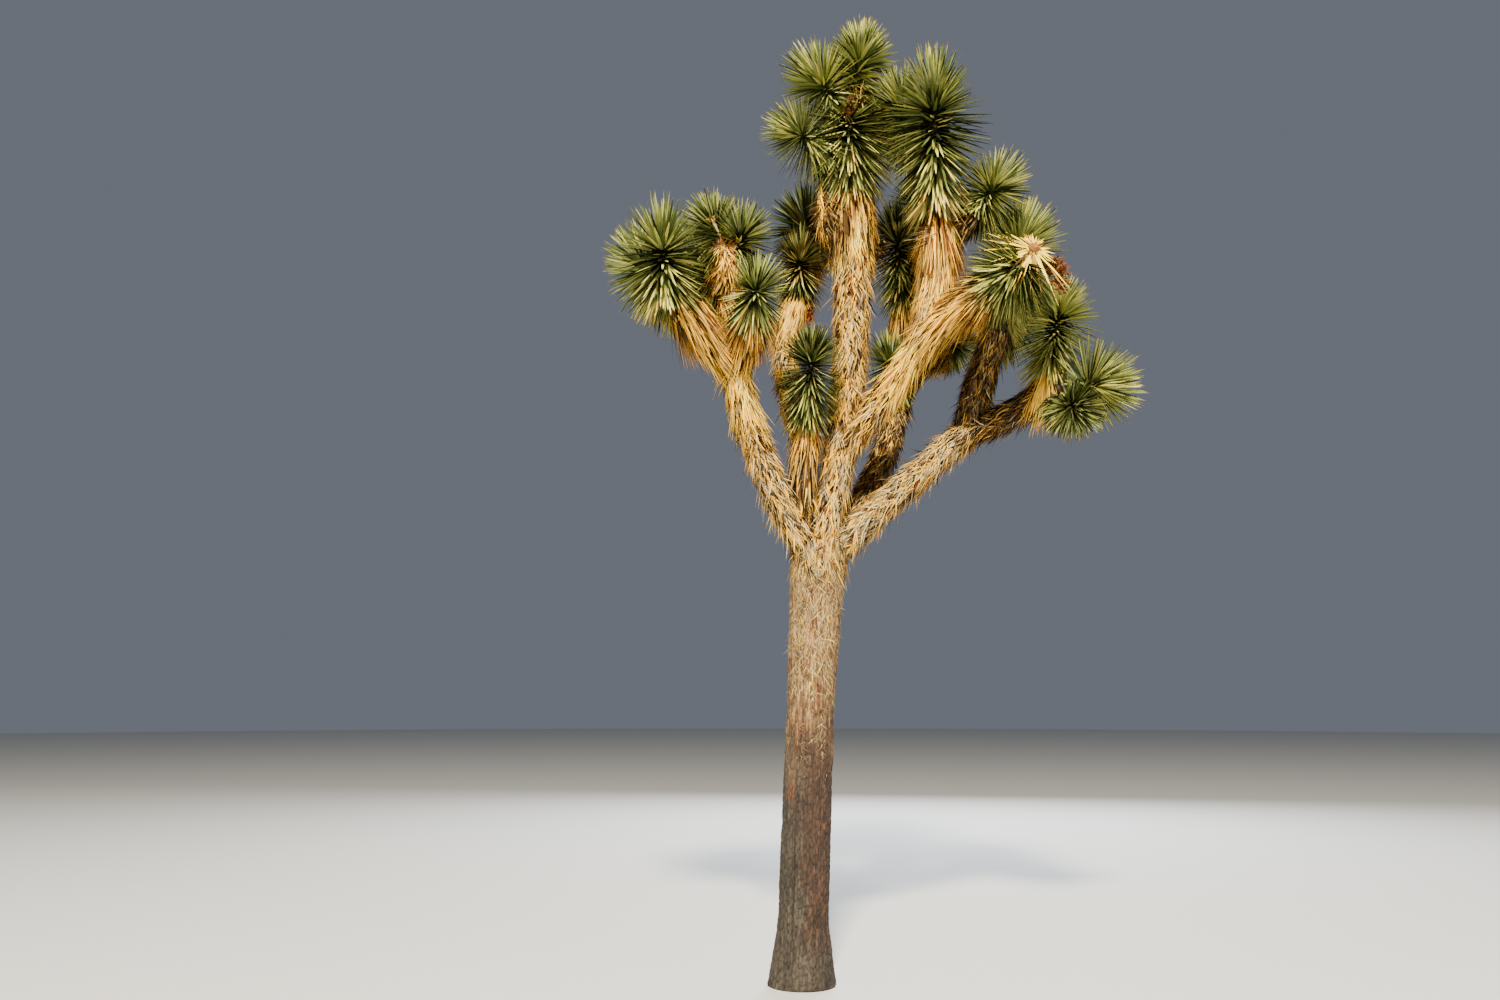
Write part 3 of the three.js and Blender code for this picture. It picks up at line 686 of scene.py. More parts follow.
def bough_skin(name):
    """A tube along the bough's line under its thatch, its radius a share of the bough's own with
    ripples round and along it, begun inside what carries the bough and narrowed at its end."""
    limb = limbs[name]
    length = limb["length"]
    share, angle = ring_grid(max(24, int(length / WOOD_STEP)), WOOD_COLUMNS)
    ripple = np.sin(7 * angle + 9 * length * share) + np.sin(11 * angle - 37 * share * length)
    rings = np.sin(150 * share * length + 3 * np.sin(2 * angle))
    radius = on_limb(limb, share, "radius") * (WOOD_SHARE + RIPPLE_SHARE * ripple + RING_SHARE * rings)
    radius = radius * mix(1.0, 0.5, smooth_step(0.97, 1, share))
    out = turned(on_limb(limb, share, "across"), on_limb(limb, share, "up"), angle)
    points = on_limb(limb, share, "middle") + out * radius[..., None]
    piece = make_piece(name + "_wood", tube(points), [bough_wood], smooth=True)
    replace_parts(piece, name)


# Dead leaves

# Stations along a dead leaf, each with its share of the full width, and its keel's share of half the width
DEAD_OUTLINE = [(0, 0.8), (0.45, 0.9), (1, 0)]
DEAD_KEEL = 0.35
LEAVES_PER_AREA = 4850
# How far from its end a bough's leaves are all combed down into a skirt, and from where on none are
SKIRT_ENDS = (0.24, 0.4)
# Ragged and combed leaves: lengths and widths from least to greatest, how far most lift off the bough
# and stray aside, and where the shallowest root lies as a share of the bough's radius
RAGGED = {"lengths": (0.04, 0.12), "widths": (0.0046, 0.0092), "lift": 0.09, "stray": 0.36, "root": 0.9}
COMBED = {"lengths": (0.13, 0.25), "widths": (0.0065, 0.0115), "lift": 0.06, "stray": 0.07, "root": 0.98}
DEEPEST_ROOT = 0.76
# How far off leaves lift that stand out like thorns
THORN_LIFTS = (0.15, 0.75)
# How long a ragged and a combed tuft are, and how wide any is
RAGGED_TUFT = 0.045
COMBED_TUFT = 0.2
TUFT_WIDTH = 0.022
# How combed a bough's skirt is, where not fully
SKIRTS = {
    "central_bough": 0, "low_right_bough": 0, "back_bough": 0, "left_stub": 0, "low_right_arm": 0,
    "low_right_riser": 0, "right_bough": 0.6, "left_bough": 0.6,
}
# How much a limb's leaves hang where it is level, and on which limbs they hang more or less
HANG = 1.6
HANGING = {"right_side_arm": 3.5, "left_arm": 0.9, "left_inner_arm": 1}
# What a tuft's level gives most of its leaves, each pair up to which level and the colour; the darkest
# steps go to the lowest tufts, which sit deepest, as painted shade
SKIRT_LADDER = ((0.12, DARK), (0.3, BROWN), (0.5, TAN), (0.74, STRAW), (0.95, GOLD), (1.0, BLEACHED))
RAGGED_LADDER = (
    (0.14, DARK), (0.32, BROWN), (0.42, GREY), (0.58, TAN), (0.72, SILVER), (0.88, STRAW), (1.0, GOLD),
)
# The share of a tuft's leaves that take the tuft's colour
ALIKE = 0.6
# Limbs that stand in the crown's shade, whose dead leaves are dark as painted shade
SHADED_LIMBS = {
    "low_right_riser", "low_right_arm", "back_bough", "back_right_arm", "far_right_arm", "mid_left_bough",
    "right_high_arm", "right_back_arm",
}
# Places in the shade of a head, each with its middle and its half sizes, and the share that is dark there
SHADY_PLACES = [((0.17, -0.1, 4.3), (0.13, 0.22, 0.28)), ((0.6, 0.45, 3.18), (0.22, 0.28, 0.38))]
SHADE_SHARE = 0.88
# Shares of a bough's leaves that have turned grey, and of its skirt's leaves made brown and dark as painted
# shade
GREYED = {"low_right_bough": 0.4, "left_bough": 0.18, "central_bough": 0.12}
SKIRT_SHADE = {"upper_bough": 0.36, "right_column": 0.08, "right_bough": 0.3, "left_bough": 0.12}


def dead_leaves(roots, ways, flats, lengths, widths, bends, tints, keel=DEAD_KEEL):
    """Dead leaves as one surface, each of one colour."""
    points = daggers(roots, ways, flats, lengths, widths, bends, DEAD_OUTLINE, keel)
    return points, *dagger_faces(len(roots), len(DEAD_OUTLINE), tints)


def tufts(angle, run, around, tall):
    """A level from 0 to 1 for each leaf, the same for all leaves of one tuft. A tuft is a cell of a
    staggered grid, around cells round the limb and each tall long."""
    column = np.floor(angle / (2 * math.pi) * around).astype(int) % around
    row = np.floor(run / tall + draw.random(around)[column]).astype(int)
    levels = draw.random((int(row.max()) + 1, around))
    return levels[row, column]


def in_shade(roots):
    """Whether leaves start in a shady place, all but a few of those that do."""
    inside = [np.linalg.norm((roots - middle) / half, axis=1) < 1 for middle, half in SHADY_PLACES]
    return np.any(inside, axis=0) & (draw.random(len(roots)) < SHADE_SHARE)


def thatch_tints(name, angle, from_end, out, combed, tuft, depth, roots):
    """The colours of a bough's dead leaves. On a limb in the crown's shade they are dark, painted shade.
    Elsewhere their age is the bough's, older where they face up and in patches and fresher in the
    skirt, and most leaves of a tuft are alike, the deepest-set tufts dark in painted shade. Those deep
    in the thatch, in low tufts or in a shady place are dark, painted shade. Then come the bough's own
    shares of grey leaves and of skirt leaves turned brown and dark as painted shade, and last the
    bright fringe where the skirt ends."""
    count = len(angle)
    in_skirt = combed > 0.5
    # Limbs in the crown's shade take dark colours, painted shade
    if name in SHADED_LIMBS:
        tints = by_shares(count, SHADED_LIMB_SHARES)
    else:
        facing_up = np.clip(out[:, 2], 0, 1) * (1 - combed)
        patch = 0.22 * np.sin(2 * angle + 5 * from_end) + 0.18 * np.sin(5 * angle - 11 * from_end)
        age = np.clip(weathering[name] + mix(0.1, -0.35, combed) + 0.4 * facing_up + patch, 0, 1)
        tints = dead_tints(count, age)
        alike = draw.random(count) < ALIKE
        tuft_tints = np.where(in_skirt, by_ladder(SKIRT_LADDER, tuft), by_ladder(RAGGED_LADDER, tuft))
        tints = np.where(alike, tuft_tints, tints)
    # Leaves rooted deep in the thatch or in low tufts take dark colours as painted shade
    deep = (depth < 0.82) & (draw.random(count) < 0.8)
    low = (tuft < 0.3) & (draw.random(count) < 0.5)
    shaded = deep | low | in_shade(roots)
    tints = np.where(shaded, by_shares(count, HOLLOW_SHADE_SHARES), tints)
    greyed = (draw.random(count) < GREYED.get(name, 0)) & ~shaded
    tints = np.where(greyed, draw.choice([SILVER, GREY], count), tints)
    # Skirt leaves made brown and dark here are painted shade
    skirt_shaded = (draw.random(count) < SKIRT_SHADE.get(name, 0)) & in_skirt
    tints = np.where(skirt_shaded, pick_tints(count, {BROWN: 0.5, TAN: 0.25, DARK: 0.25}), tints)
    fringe = (draw.random(count) < 2.4 * combed * (1 - combed)) & ~shaded
    return np.where(fringe, draw.choice([GOLD, BLEACHED], count), tints)


def thatch(name):
    """Dead leaves that hang back along a bough. A leaf starts on the bough's skin, points to the
    bough's root, leans out by its lift and aside by its stray, and bends towards the ground. In the
    skirt, the last of the bough under its head, leaves are long, thin and combed. Below they are
    broken short, lie any way, and stand out like thorns on the under side."""
    limb = limbs[name]
    count = int(LEAVES_PER_AREA * 2 * math.pi * limb["length"] * limb["radius"].mean())
    share = ((np.arange(count) + draw.random(count)) / count) ** 0.95
    angle = np.arange(count) * GOLDEN_ANGLE + draw.normal(0, 0.1, count)
    from_end = (1 - share) * limb["length"]
    combed = 1 - smooth_step(*SKIRT_ENDS, from_end + 0.03 * np.sin(3 * angle) + draw.normal(0, 0.02, count))
    combed = combed * SKIRTS.get(name, 1)
    cells = int(2 * math.pi * limb["radius"].mean() / TUFT_WIDTH)
    combed_tufts = tufts(angle, from_end, int(cells * 1.6), COMBED_TUFT)
    ragged_tufts = tufts(angle, from_end, cells, RAGGED_TUFT)
    tuft = np.where(combed > 0.5, combed_tufts, ragged_tufts)
    raised = smooth_step(0.15, 0.75, tuft)
    forward = on_limb(limb, share, "forward")
    out = turned(on_limb(limb, share, "across"), on_limb(limb, share, "up"), angle)
    around = np.cross(forward, out)
    under = np.clip(-out[:, 2], 0, 1) * (1 - combed)
    thorny = draw.random(count) < 0.1 + 0.35 * under
    lift = np.abs(draw.normal(0.03, mix(RAGGED["lift"], COMBED["lift"], combed)))
    lift = lift + thorny * draw.uniform(*THORN_LIFTS, count) * mix(1, 0.25, combed)
    lift = lift + 0.06 * raised * (1 - combed)
    stray = draw.normal(0, mix(RAGGED["stray"], COMBED["stray"], combed))
    ways = unit(-forward + out * lift[:, None] + around * stray[:, None])
    lengths = mix(draw.uniform(*RAGGED["lengths"], count), draw.uniform(*COMBED["lengths"], count), combed)
    widths = mix(draw.uniform(*RAGGED["widths"], count), draw.uniform(*COMBED["widths"], count), combed)
    level = 1 - forward[:, 2] ** 2
    drop = lengths * np.abs(draw.normal(0.06, 0.08, count)) * mix(0.8, HANGING.get(name, HANG), level)
    bends = DOWN * drop[:, None] + around * draw.normal(0, 0.012, count)[:, None]
    shallowest = mix(RAGGED["root"], COMBED["root"], combed)
    depth = draw.uniform(DEEPEST_ROOT, shallowest) + mix(-0.06, 0.05, raised)
    roots = on_limb(limb, share, "middle") + out * (on_limb(limb, share, "radius") * depth)[:, None]
    roots = roots + forward * 0.02
    tints = thatch_tints(name, angle, from_end, out, combed, tuft, depth, roots)
    return dead_leaves(roots, ways, out, lengths, widths, bends, tints)


RUFF_SHARES = {GOLD: 0.18, STRAW: 0.18, TAN: 0.16, BROWN: 0.2, RUST: 0.18, DARK: 0.1}
SUNNY_RUFF_SHARES = {GOLD: 0.4, STRAW: 0.25, BLEACHED: 0.1, TAN: 0.1, BROWN: 0.15}
# A ruff's fullness, how far its highest leaves lean from the stem, the greatest share of its head's leaf
# length that they have, their colours, and whether it lies along the bough, not along the head's stem
PLAIN_RUFF = {"full": 1, "lean": 0.5, "longest": 0.85, "shares": RUFF_SHARES, "on_bough": False}
FULL_RUFF = {**PLAIN_RUFF, "lean": 0.75, "longest": 1.0}
RUFFS = {
    "right_side_head": {**FULL_RUFF, "full": 3.2},
    "left_front_head": {**FULL_RUFF, "full": 1.6},
    "crown_head": {**FULL_RUFF, "full": 2},
    "right_head": {**FULL_RUFF, "full": 1.5, "lean": 0.4},
    "low_right_head": {**FULL_RUFF, "full": 2.4, "lean": 0.3, "shares": SUNNY_RUFF_SHARES},
    "left_head": {**FULL_RUFF, "full": 1.4, "lean": 0.34, "on_bough": True},
}
RUFFLESS = {
    "riser_head", "riser_back_head", "far_right_head", "low_outer_head", "low_under_head",
    "left_outer_head", "top_head", "top_left_head", "top_side_head", "top_back_head",
    "right_high_head", "right_back_head",
}
# Leaves in a ruff: how many in any, how many more to a metre of its radius, and its radius on a stem
RUFF_LEAVES = 190
RUFF_LEAVES_PER_METRE = 900
RUFF_RADIUS = 0.055


def ruff(name, bough, start):
    """Leaves that died last, in a ruff round the foot of a head's stem. They point back along the
    stem and stand out from it by their lean."""
    stem, own = stems[name], RUFFS.get(name, PLAIN_RUFF)
    foot, axis = stem["foot"], unit(stem["tip"] - stem["foot"])
    if own["on_bough"]:
        foot, axis = limbs[bough]["middle"][-1], limbs[bough]["forward"][-1]
    across, up = square_to(axis)
    round_bough = start > 0.9 or start == 0
    wide = 0.8 * float(on_limb(limbs[bough], start, "radius")) if round_bough else RUFF_RADIUS
    count = int((RUFF_LEAVES + RUFF_LEAVES_PER_METRE * wide) * own["full"])
    out = turned(across, up, draw.uniform(0, 2 * math.pi, count))
    climb = draw.uniform(-0.02, 0.12, count)
    lean = draw.normal(mix(0.22, own["lean"], (climb + 0.02) / 0.14), 0.1)
    ways = unit(-axis * np.cos(lean)[:, None] + out * np.sin(lean)[:, None])
    lengths = stem["leaf"] * draw.uniform(0.55, own["longest"], count)
    spread = mix(wide, RUFF_RADIUS, np.clip(climb / 0.12, 0, 1)) * draw.uniform(0.75, 1, count)
    roots = foot + axis * climb[:, None] + out * spread[:, None]
    bends = DOWN * (lengths * 0.12)[:, None] + out * draw.normal(0, 0.01, count)[:, None]
    widths = draw.uniform(0.007, 0.012, count)
    tints = np.where(in_shade(roots), draw.choice([BROWN, DARK], count), pick_tints(count, own["shares"]))
    return dead_leaves(roots, ways, out, lengths, widths, bends, tints)


# How many bits of dead leaf are tried on the trunk, their lengths and widths, and their colours
SHAG_BITS = 15500
SHAG_LENGTHS = (0.03, 0.09)
SHAG_WIDTHS = (0.0022, 0.004)
SHAG_SHARES = {SILVER: 0.34, GREY: 0.26, STRAW: 0.05, BLEACHED: 0.03, TAN: 0.1, BROWN: 0.12, DARK: 0.1}
# Leaves round the crotch, how many tongues they hang in, how old they are, and the tufts round it
CROTCH_LEAVES = 1500
CROTCH_TONGUES = 5
CROTCH_AGE = 0.75
CROTCH_TUFTS = (36, 0.05)


def around_trunk(angle):
    """The level directions out of the trunk and round it at each angle."""
    level = np.zeros(len(angle))
    out = np.stack([np.cos(angle), np.sin(angle), level], axis=1)
    return out, np.stack([-np.sin(angle), np.cos(angle), level], axis=1)


def trunk_bits():
    """Broken bits of dead leaf on the upper trunk, thick below the crotch and down the left and the
    back, thin on the right. A bit starts on the bark and points mostly down but any way at random,
    standing off the bark by its lift."""
    share = mix(SHAGGY_FROM / TRUNK_TOP[2], 1.02, draw.random(SHAG_BITS) ** 0.8)
    angle = draw.uniform(0, 2 * math.pi, SHAG_BITS)
    rise = (share * TRUNK_TOP[2] - SHAGGY_FROM) / (TRUNK_TOP[2] - SHAGGY_FROM)
    side = 0.5 + 0.5 * np.cos(angle - np.radians(mix(200, 240, rise)))
    ragged = 0.12 * np.sin(7 * angle + 15 * rise) + 0.1 * np.sin(12 * angle - 31 * rise)
    thick = smooth_step(0.0, 0.5, rise + 1.3 * ragged) * smooth_step(0.32, 0.8, side + ragged + 0.1 * rise)
    thick = thick * 0.62 + 0.12 * smooth_step(0.7, 1.0, rise + ragged)
    bare = spots(angle, share * TRUNK_TOP[2], RUST_SPOTS)
    grown = draw.random(SHAG_BITS) < thick * (1 - 0.75 * bare)
    share, angle, count = share[grown], angle[grown], int(grown.sum())
    height = share * TRUNK_TOP[2]
    out, around = around_trunk(angle)
    turn = draw.normal(0, 0.52, count)
    lift = np.abs(draw.normal(0.02, 0.06, count))
    ways = unit(DOWN * np.cos(turn)[:, None] + around * np.sin(turn)[:, None] + out * lift[:, None])
    full_size = smooth_step(SHAGGY_FROM + 0.1, 1.8, height)
    lengths = draw.uniform(*SHAG_LENGTHS, count) * mix(0.4, 1.1, full_size)
    widths = draw.uniform(*SHAG_WIDTHS, count)
    bends = around * draw.normal(0, 0.014, count)[:, None]
    depth = (trunk_radius(np.minimum(height, TRUNK_TOP[2])) - 0.004)[:, None]
    roots = on_limb(trunk, np.clip(share, 0, 1), "middle") + out * depth
    tints = pick_tints(count, SHAG_SHARES)
    tints = np.where(draw.random(count) > 0.3 + full_size, GREY, tints)
    return dead_leaves(roots, ways, out, lengths, widths, bends, tints)


def crotch_thatch():
    """Leaves that hang from the feet of the boughs over the trunk's shoulder, in longer tongues below
    the boughs."""
    count = CROTCH_LEAVES
    angle = draw.uniform(0, 2 * math.pi, count)
    height = TRUNK_TOP[2] + draw.uniform(-0.1, 0.05, count)
    tongue = 0.5 + 0.5 * np.sin(CROTCH_TONGUES * angle + 0.6)
    out, around = around_trunk(angle)
    depth = trunk_radius(np.minimum(height, TRUNK_TOP[2])) - draw.uniform(0, 0.02, count)
    middle = on_limb(trunk, np.clip(height / TRUNK_TOP[2], 0, 1), "middle") * (1, 1, 0)
    roots = middle + DOWN * -height[:, None] + out * depth[:, None]
    lift = np.abs(draw.normal(0.04, 0.08, count))
    ways = unit(DOWN + around * draw.normal(0, 0.3, count)[:, None] + out * lift[:, None])
    lengths = draw.uniform(0.05, 0.13, count) * mix(0.6, 1.3, tongue)
    bends = around * draw.normal(0, 0.012, count)[:, None]
    tuft = tufts(angle, height, *CROTCH_TUFTS)
    tints = dead_tints(count, CROTCH_AGE)
    # Leaves of low tufts take dark colours as painted shade in the hollows
    shaded = (tuft < 0.35) & (draw.random(count) < 0.8)
    tints = np.where(shaded, by_shares(count, HOLLOW_SHADE_SHARES), tints)
    widths = draw.uniform(0.0055, 0.01, count)
    return dead_leaves(roots, ways, out, lengths, widths, bends, tints)


# Heads of live leaves

LIVE_OUTLINE = [(0, 0.8), (0.2, 1.0), (0.58, 0.82), (0.93, 0.24), (1, 0)]
LIVE_KEEL = 0.5
# A leaf's width as a share of its head's leaf length
LIVE_WIDTH = 0.058
# Leaves on any head and on a metre of stem with leaves of the usual length, and on a head that
# sleeves a bough
HEAD_LEAVES = 240
HEAD_LEAVES_PER_METRE = 760
USUAL_LENGTH = 0.28
SLEEVE_LEAVES = 720
# Where on its stem, as a share of the stem, a head's lowest and highest leaf start
LOWEST_ROOT = 0.28
HIGHEST_ROOT = 0.97
# The cosine of the lean from the stem of the highest drooping leaf, above which the brush begins
SWITCH_COSINE = -0.12
# What a head is like: the share of its leaves that droop and how far up the stem they stand, the cosines
# of the lowest and the highest leaf's lean, how far leaves that stand out sideways reach, as a share of
# an upright leaf, in the brush and among the drooping leaves, how near another stem a leaf may come, as
# a share of how far it is from its own, the shares of leaves that are dead, dark in painted shade and
# light in painted light, and whether leaves are green down to the foot instead of dark in painted shade
USUAL_HEAD = {
    "drooping": 0.52, "climb": 0.8, "lean": (-0.74, 0.985), "brush_reach": 0.8, "droop_reach": 0.9,
    "spacing": 0.62, "faded": 0, "painted_shade": 0, "painted_light": 0, "green_foot": False,
}
HEAD_LOOKS = {
    "left_head": {"drooping": 0.62, "brush_reach": 0.7, "droop_reach": 0.84},
    "left_front_head": {"painted_shade": 0.3, "painted_light": 0.2},
    "mid_front_head": {"brush_reach": 1.0, "droop_reach": 1.1, "painted_shade": 0.5},
    "mid_head": {"brush_reach": 0.7, "faded": 0.5, "painted_shade": 0.3},
    "mid_back_head": {"brush_reach": 0.95, "painted_shade": 0.7},
    "crown_head": {
        "drooping": 0.86, "climb": 0.97, "lean": (-0.84, 0.2), "droop_reach": 1.22, "spacing": 0.3,
        "faded": 0.06, "painted_light": 0.15,
    },
    "top_head": {
        "drooping": 0.3, "lean": (-0.6, 0.99), "brush_reach": 0.66, "painted_light": 0.3, "green_foot": True,
    },
    "top_left_head": {"drooping": 0.42, "painted_light": 0.2, "green_foot": True},
    "top_side_head": {"brush_reach": 0.95, "droop_reach": 1.1, "painted_light": 0.2, "green_foot": True},
    "right_head": {"brush_reach": 0.68, "droop_reach": 0.94},
    "right_back_head": {"green_foot": True},
    "right_high_head": {"green_foot": True},
    "right_side_head": {
        "drooping": 0.84, "climb": 0.95, "lean": (-0.86, 0.1), "droop_reach": 1.0, "spacing": 0.3,
    },
    "riser_head": {"brush_reach": 0.95, "droop_reach": 1.05, "painted_light": 0.5, "green_foot": True},
    "low_right_head": {"brush_reach": 0.9, "droop_reach": 1.22, "spacing": 0.34, "painted_light": 0.55},
    "low_outer_head": {"drooping": 0.4, "brush_reach": 0.95, "droop_reach": 1.05, "painted_light": 0.45},
    "low_under_head": {"drooping": 0.3, "lean": (-0.25, 0.97), "painted_shade": 0.4},
    "back_left_head": {"faded": 0.1, "painted_shade": 0.4},
}
# Boxes that live leaves keep out of, each with the head that may enter it and two opposite corners:
# the ruff under the low right head, the dead leaves round the broken tip of the right side head, and
# the front of the left stub
CLEARINGS = [
    ("low_right_head", (1.24, -0.7, 3.13), (1.45, 0.1, 3.4)),
    ("", (1.1, -1.1, 3.72), (1.38, -0.6, 3.96)),
    ("", (-0.46, -0.62, 3.6), (-0.35, -0.22, 4.0)),
]
# Shares of its length that a leaf is tried at, and shares along it where its place is tested
LENGTH_TRIES = (1, 0.85, 0.7, 0.55)
TEST_PLACES = (0.5, 0.75, 1)
# How much of its radius a limb keeps free of leaves, and how much the head's own bough does
LIMB_ROOM = 0.9
OWN_BOUGH_ROOM = 0.7
# The thickest that a head's stem is, and its usual share of the leaf length
STEM_RADIUS = 0.045
STEM_SHARE = 0.15


def to_line(points, foot, tip):
    """How far points are from a straight line between foot and tip."""
    run = tip - foot
    share = np.clip(((points - foot) @ run) / (run @ run), 0, 1)
    return np.linalg.norm(points - foot - share[..., None] * run, axis=-1)


def into_limbs(points, own_bough, sleeved):
    """Whether points lie inside a limb: nearer to a bead of its line than the share of the radius
    there that is kept free. A bough that runs up inside the head is left out."""
    inside = np.zeros(points.shape[:-1], bool)
    low, high = points.reshape(-1, 3).min(axis=0), points.reshape(-1, 3).max(axis=0)
    for name, limb in limbs.items():
        if name == sleeved:
            continue
        beads = limb["middle"][::2]
        radii = limb["radius"][::2] * (OWN_BOUGH_ROOM if name == own_bough else LIMB_ROOM)
        near = np.all((beads > low - 0.2) & (beads < high + 0.2), axis=1)
        for bead, radius in zip(beads[near], radii[near]):
            inside |= np.linalg.norm(points - bead, axis=-1) < radius
    return inside


def fitting_shares(name, bough, roots, ways, lengths, bends):
    """The largest share of its length at which each leaf stays in its head's own space, or 0. None of
    its test places may be in a limb or in a clearing, or so near another stem that its distance from
    it is less than the spacing times that from its own."""
    stem = stems[name]
    spacing = (USUAL_HEAD | HEAD_LOOKS.get(name, {}))["spacing"]
    along = np.array(TEST_PLACES)[None, :, None]
    chosen = np.zeros(len(roots))
    for share in LENGTH_TRIES:
        straight = (ways * (lengths * share)[:, None])[:, None] * along
        tests = roots[:, None] + straight + bends[:, None] * (along * share) ** 2
        own = to_line(tests, stem["foot"], stem["tip"])
        crowded = into_limbs(tests, bough, SLEEVED.get(name))
        for other, line in stems.items():
            if other != name:
                crowded |= to_line(tests, line["foot"], line["tip"]) < own * spacing
        for owner, low, high in CLEARINGS:
            if owner != name:
                crowded |= np.all((tests > low) & (tests < high), axis=-1)
        chosen = np.where((chosen == 0) & ~crowded.any(axis=1), share, chosen)
    return chosen


def live_tints(rise, drooping, aged, band_shade):
    """Each leaf's green: even and deep in the brush at the growing tip, dark where the brush begins by the
    share given, as painted shade, paler and more often deep where leaves droop, partly their own colour
    and partly painted light and shade, and yellow or straw, by the aged share, at the foot of the stem."""
    count = len(rise)
    brush = smooth_step(drooping - 0.1, drooping + 0.15, rise)[:, None]
    tints = by_shares(count, mix(DROOPING_SHARES, BRUSH_SHARES, brush))
    old = draw.random(count) < aged * smooth_step(0.2, 0.0, rise)
    tints = np.where(old, np.where(draw.random(count) < 0.5, YELLOW, STRAW_LEAF), tints)
    at_tip = 0.3 * smooth_step(0.92, 1, rise)
    # Leaves in the band where the brush begins are dark as painted shade
    dark = draw.random(count) < at_tip + band_shade * np.exp(-(((rise - drooping) / 0.04) ** 2))
    return np.where(dark, draw.choice([DEEP, SHADE, GREEN], count), tints)


def head_tints(look, rise):
    """The colours of a head's leaves and of their feet. Leaves have their greens first, and then the
    head's own shares of them are dead, dark in painted shade and light in painted light. Feet are dark
    in painted shade, or a shady green in the brush, or all green where the head's look says so."""
    count = len(rise)
    # The aged share, and the share of leaves in painted shade where the brush begins
    aged, band_shade = (0.1, 0.2) if look["green_foot"] else (0.55, 0.6)
    tints = live_tints(rise, look["drooping"], aged, band_shade)
    in_brush = rise > look["drooping"] + 0.06
    # Dark feet are painted shade where leaves crowd round the stem
    feet = np.where(look["green_foot"], GREEN, np.where(in_brush, SHADE, FOOT))
    faded = draw.random(count) < look["faded"]
    tints = np.where(faded, pick_tints(count, FADED_SHARES), tints)
    # Leaves that paint shade on the head, and below them those that paint light on it
    painted_shade = draw.random(count) < look["painted_shade"]
    tints = np.where(painted_shade & ~faded, pick_tints(count, SHADED_HEAD_SHARES), tints)
    painted_light = draw.random(count) < look["painted_light"]
    return np.where(painted_light & ~faded, pick_tints(count, LIT_HEAD_SHARES), tints), feet


def live_leaves(name, bough, salt):
    """Leaf i of a head stands at i golden angles round its stem, the first of them turned by the
    salt. The drooping part's roots climb evenly and its leaves turn from hanging to nearly level. The
    brush above goes on to upright at the growing tip, where roots stand closest. A leaf that doesn't
    fit is shorter or left out."""
    stem = stems[name]
    look = USUAL_HEAD | HEAD_LOOKS.get(name, {})
    foot, tip, leaf = stem["foot"], stem["tip"], stem["leaf"]
    run = tip - foot
    reach = np.linalg.norm(run)
    axis = run / reach
    sleeved = SLEEVED.get(name)
    count = int(HEAD_LEAVES + HEAD_LEAVES_PER_METRE * reach * (USUAL_LENGTH / leaf))
    if sleeved:
        count = SLEEVE_LEAVES
    lowest, highest = look["lean"]
    drooping = look["drooping"]
    rise = (np.arange(count) + 0.5) / count
    below = np.clip(rise / drooping, 0, 1)
    above = np.clip((rise - drooping) / (1 - drooping), 0, 1)
    climb = np.where(above > 0, mix(look["climb"], 1, above**0.6), look["climb"] * below)
    brush_cosine = mix(SWITCH_COSINE, highest, above**0.62)
    cosine = np.where(above > 0, brush_cosine, mix(lowest, SWITCH_COSINE, below**1.7))
    cosine = np.clip(cosine + draw.normal(0, 0.06, count), -0.95, 0.997)
    sine = np.sqrt(1 - cosine**2)
    out = turned(*square_to(axis), np.arange(count) * GOLDEN_ANGLE + salt)
    hang = (0.06 + 0.7 * (1 - axis[2])) * smooth_step(1.0, 0.6, below)
    ways = unit(axis * cosine[:, None] + out * sine[:, None] + DOWN * hang[:, None])
    thick = on_limb(limbs[sleeved], climb, "radius") if sleeved else mix(0.05, 0.022, climb)
    roots = foot + axis * (reach * mix(LOWEST_ROOT, HIGHEST_ROOT, climb))[:, None]
    roots = roots + out * np.reshape(thick, (-1, 1)) * 0.8
    broad = mix(look["droop_reach"], look["brush_reach"], smooth_step(-0.1, 0.4, cosine))
    lengths = leaf * (mix(1, broad, sine) + draw.uniform(-0.14, 0.06, count))
    lengths = lengths * mix(0.76, 1, smooth_step(0, 1, below))
    widths = leaf * LIVE_WIDTH * draw.uniform(0.85, 1.15, count)
    sag = lengths * (0.02 + 0.1 * smooth_step(0.5, 0, rise)) * sine
    bends = DOWN * sag[:, None] + out * draw.normal(0, 0.005, count)[:, None]
    chosen = fitting_shares(name, bough, roots, ways, lengths, bends)
    kept = chosen > 0
    flats = unit(axis - ways * (ways @ axis)[:, None])
    lengths = (lengths * chosen)[kept]
    bends = (bends * chosen[:, None] ** 2)[kept]
    tints, feet = head_tints(look, rise[kept])
    leaves = roots[kept], ways[kept], flats[kept], lengths, widths[kept], bends
    points = daggers(*leaves, LIVE_OUTLINE, LIVE_KEEL)
    return points, *dagger_faces(kept.sum(), len(LIVE_OUTLINE), tints, POINT, feet)


def stem_tube(foot, tip, radius):
    """A straight tube from foot to tip that narrows to a third at the tip, the faster the nearer."""
    share = np.linspace(0, 1, 6)[:, None]
    angle = np.linspace(0, 2 * math.pi, 8, endpoint=False)
    wide = radius * mix(1, 0.35, share**2)
    ring = turned(*square_to(unit(tip - foot)), angle)
    points = foot + (tip - foot) * share[..., None] + ring[None] * wide[..., None]
    return tube(points, len(GREENS))


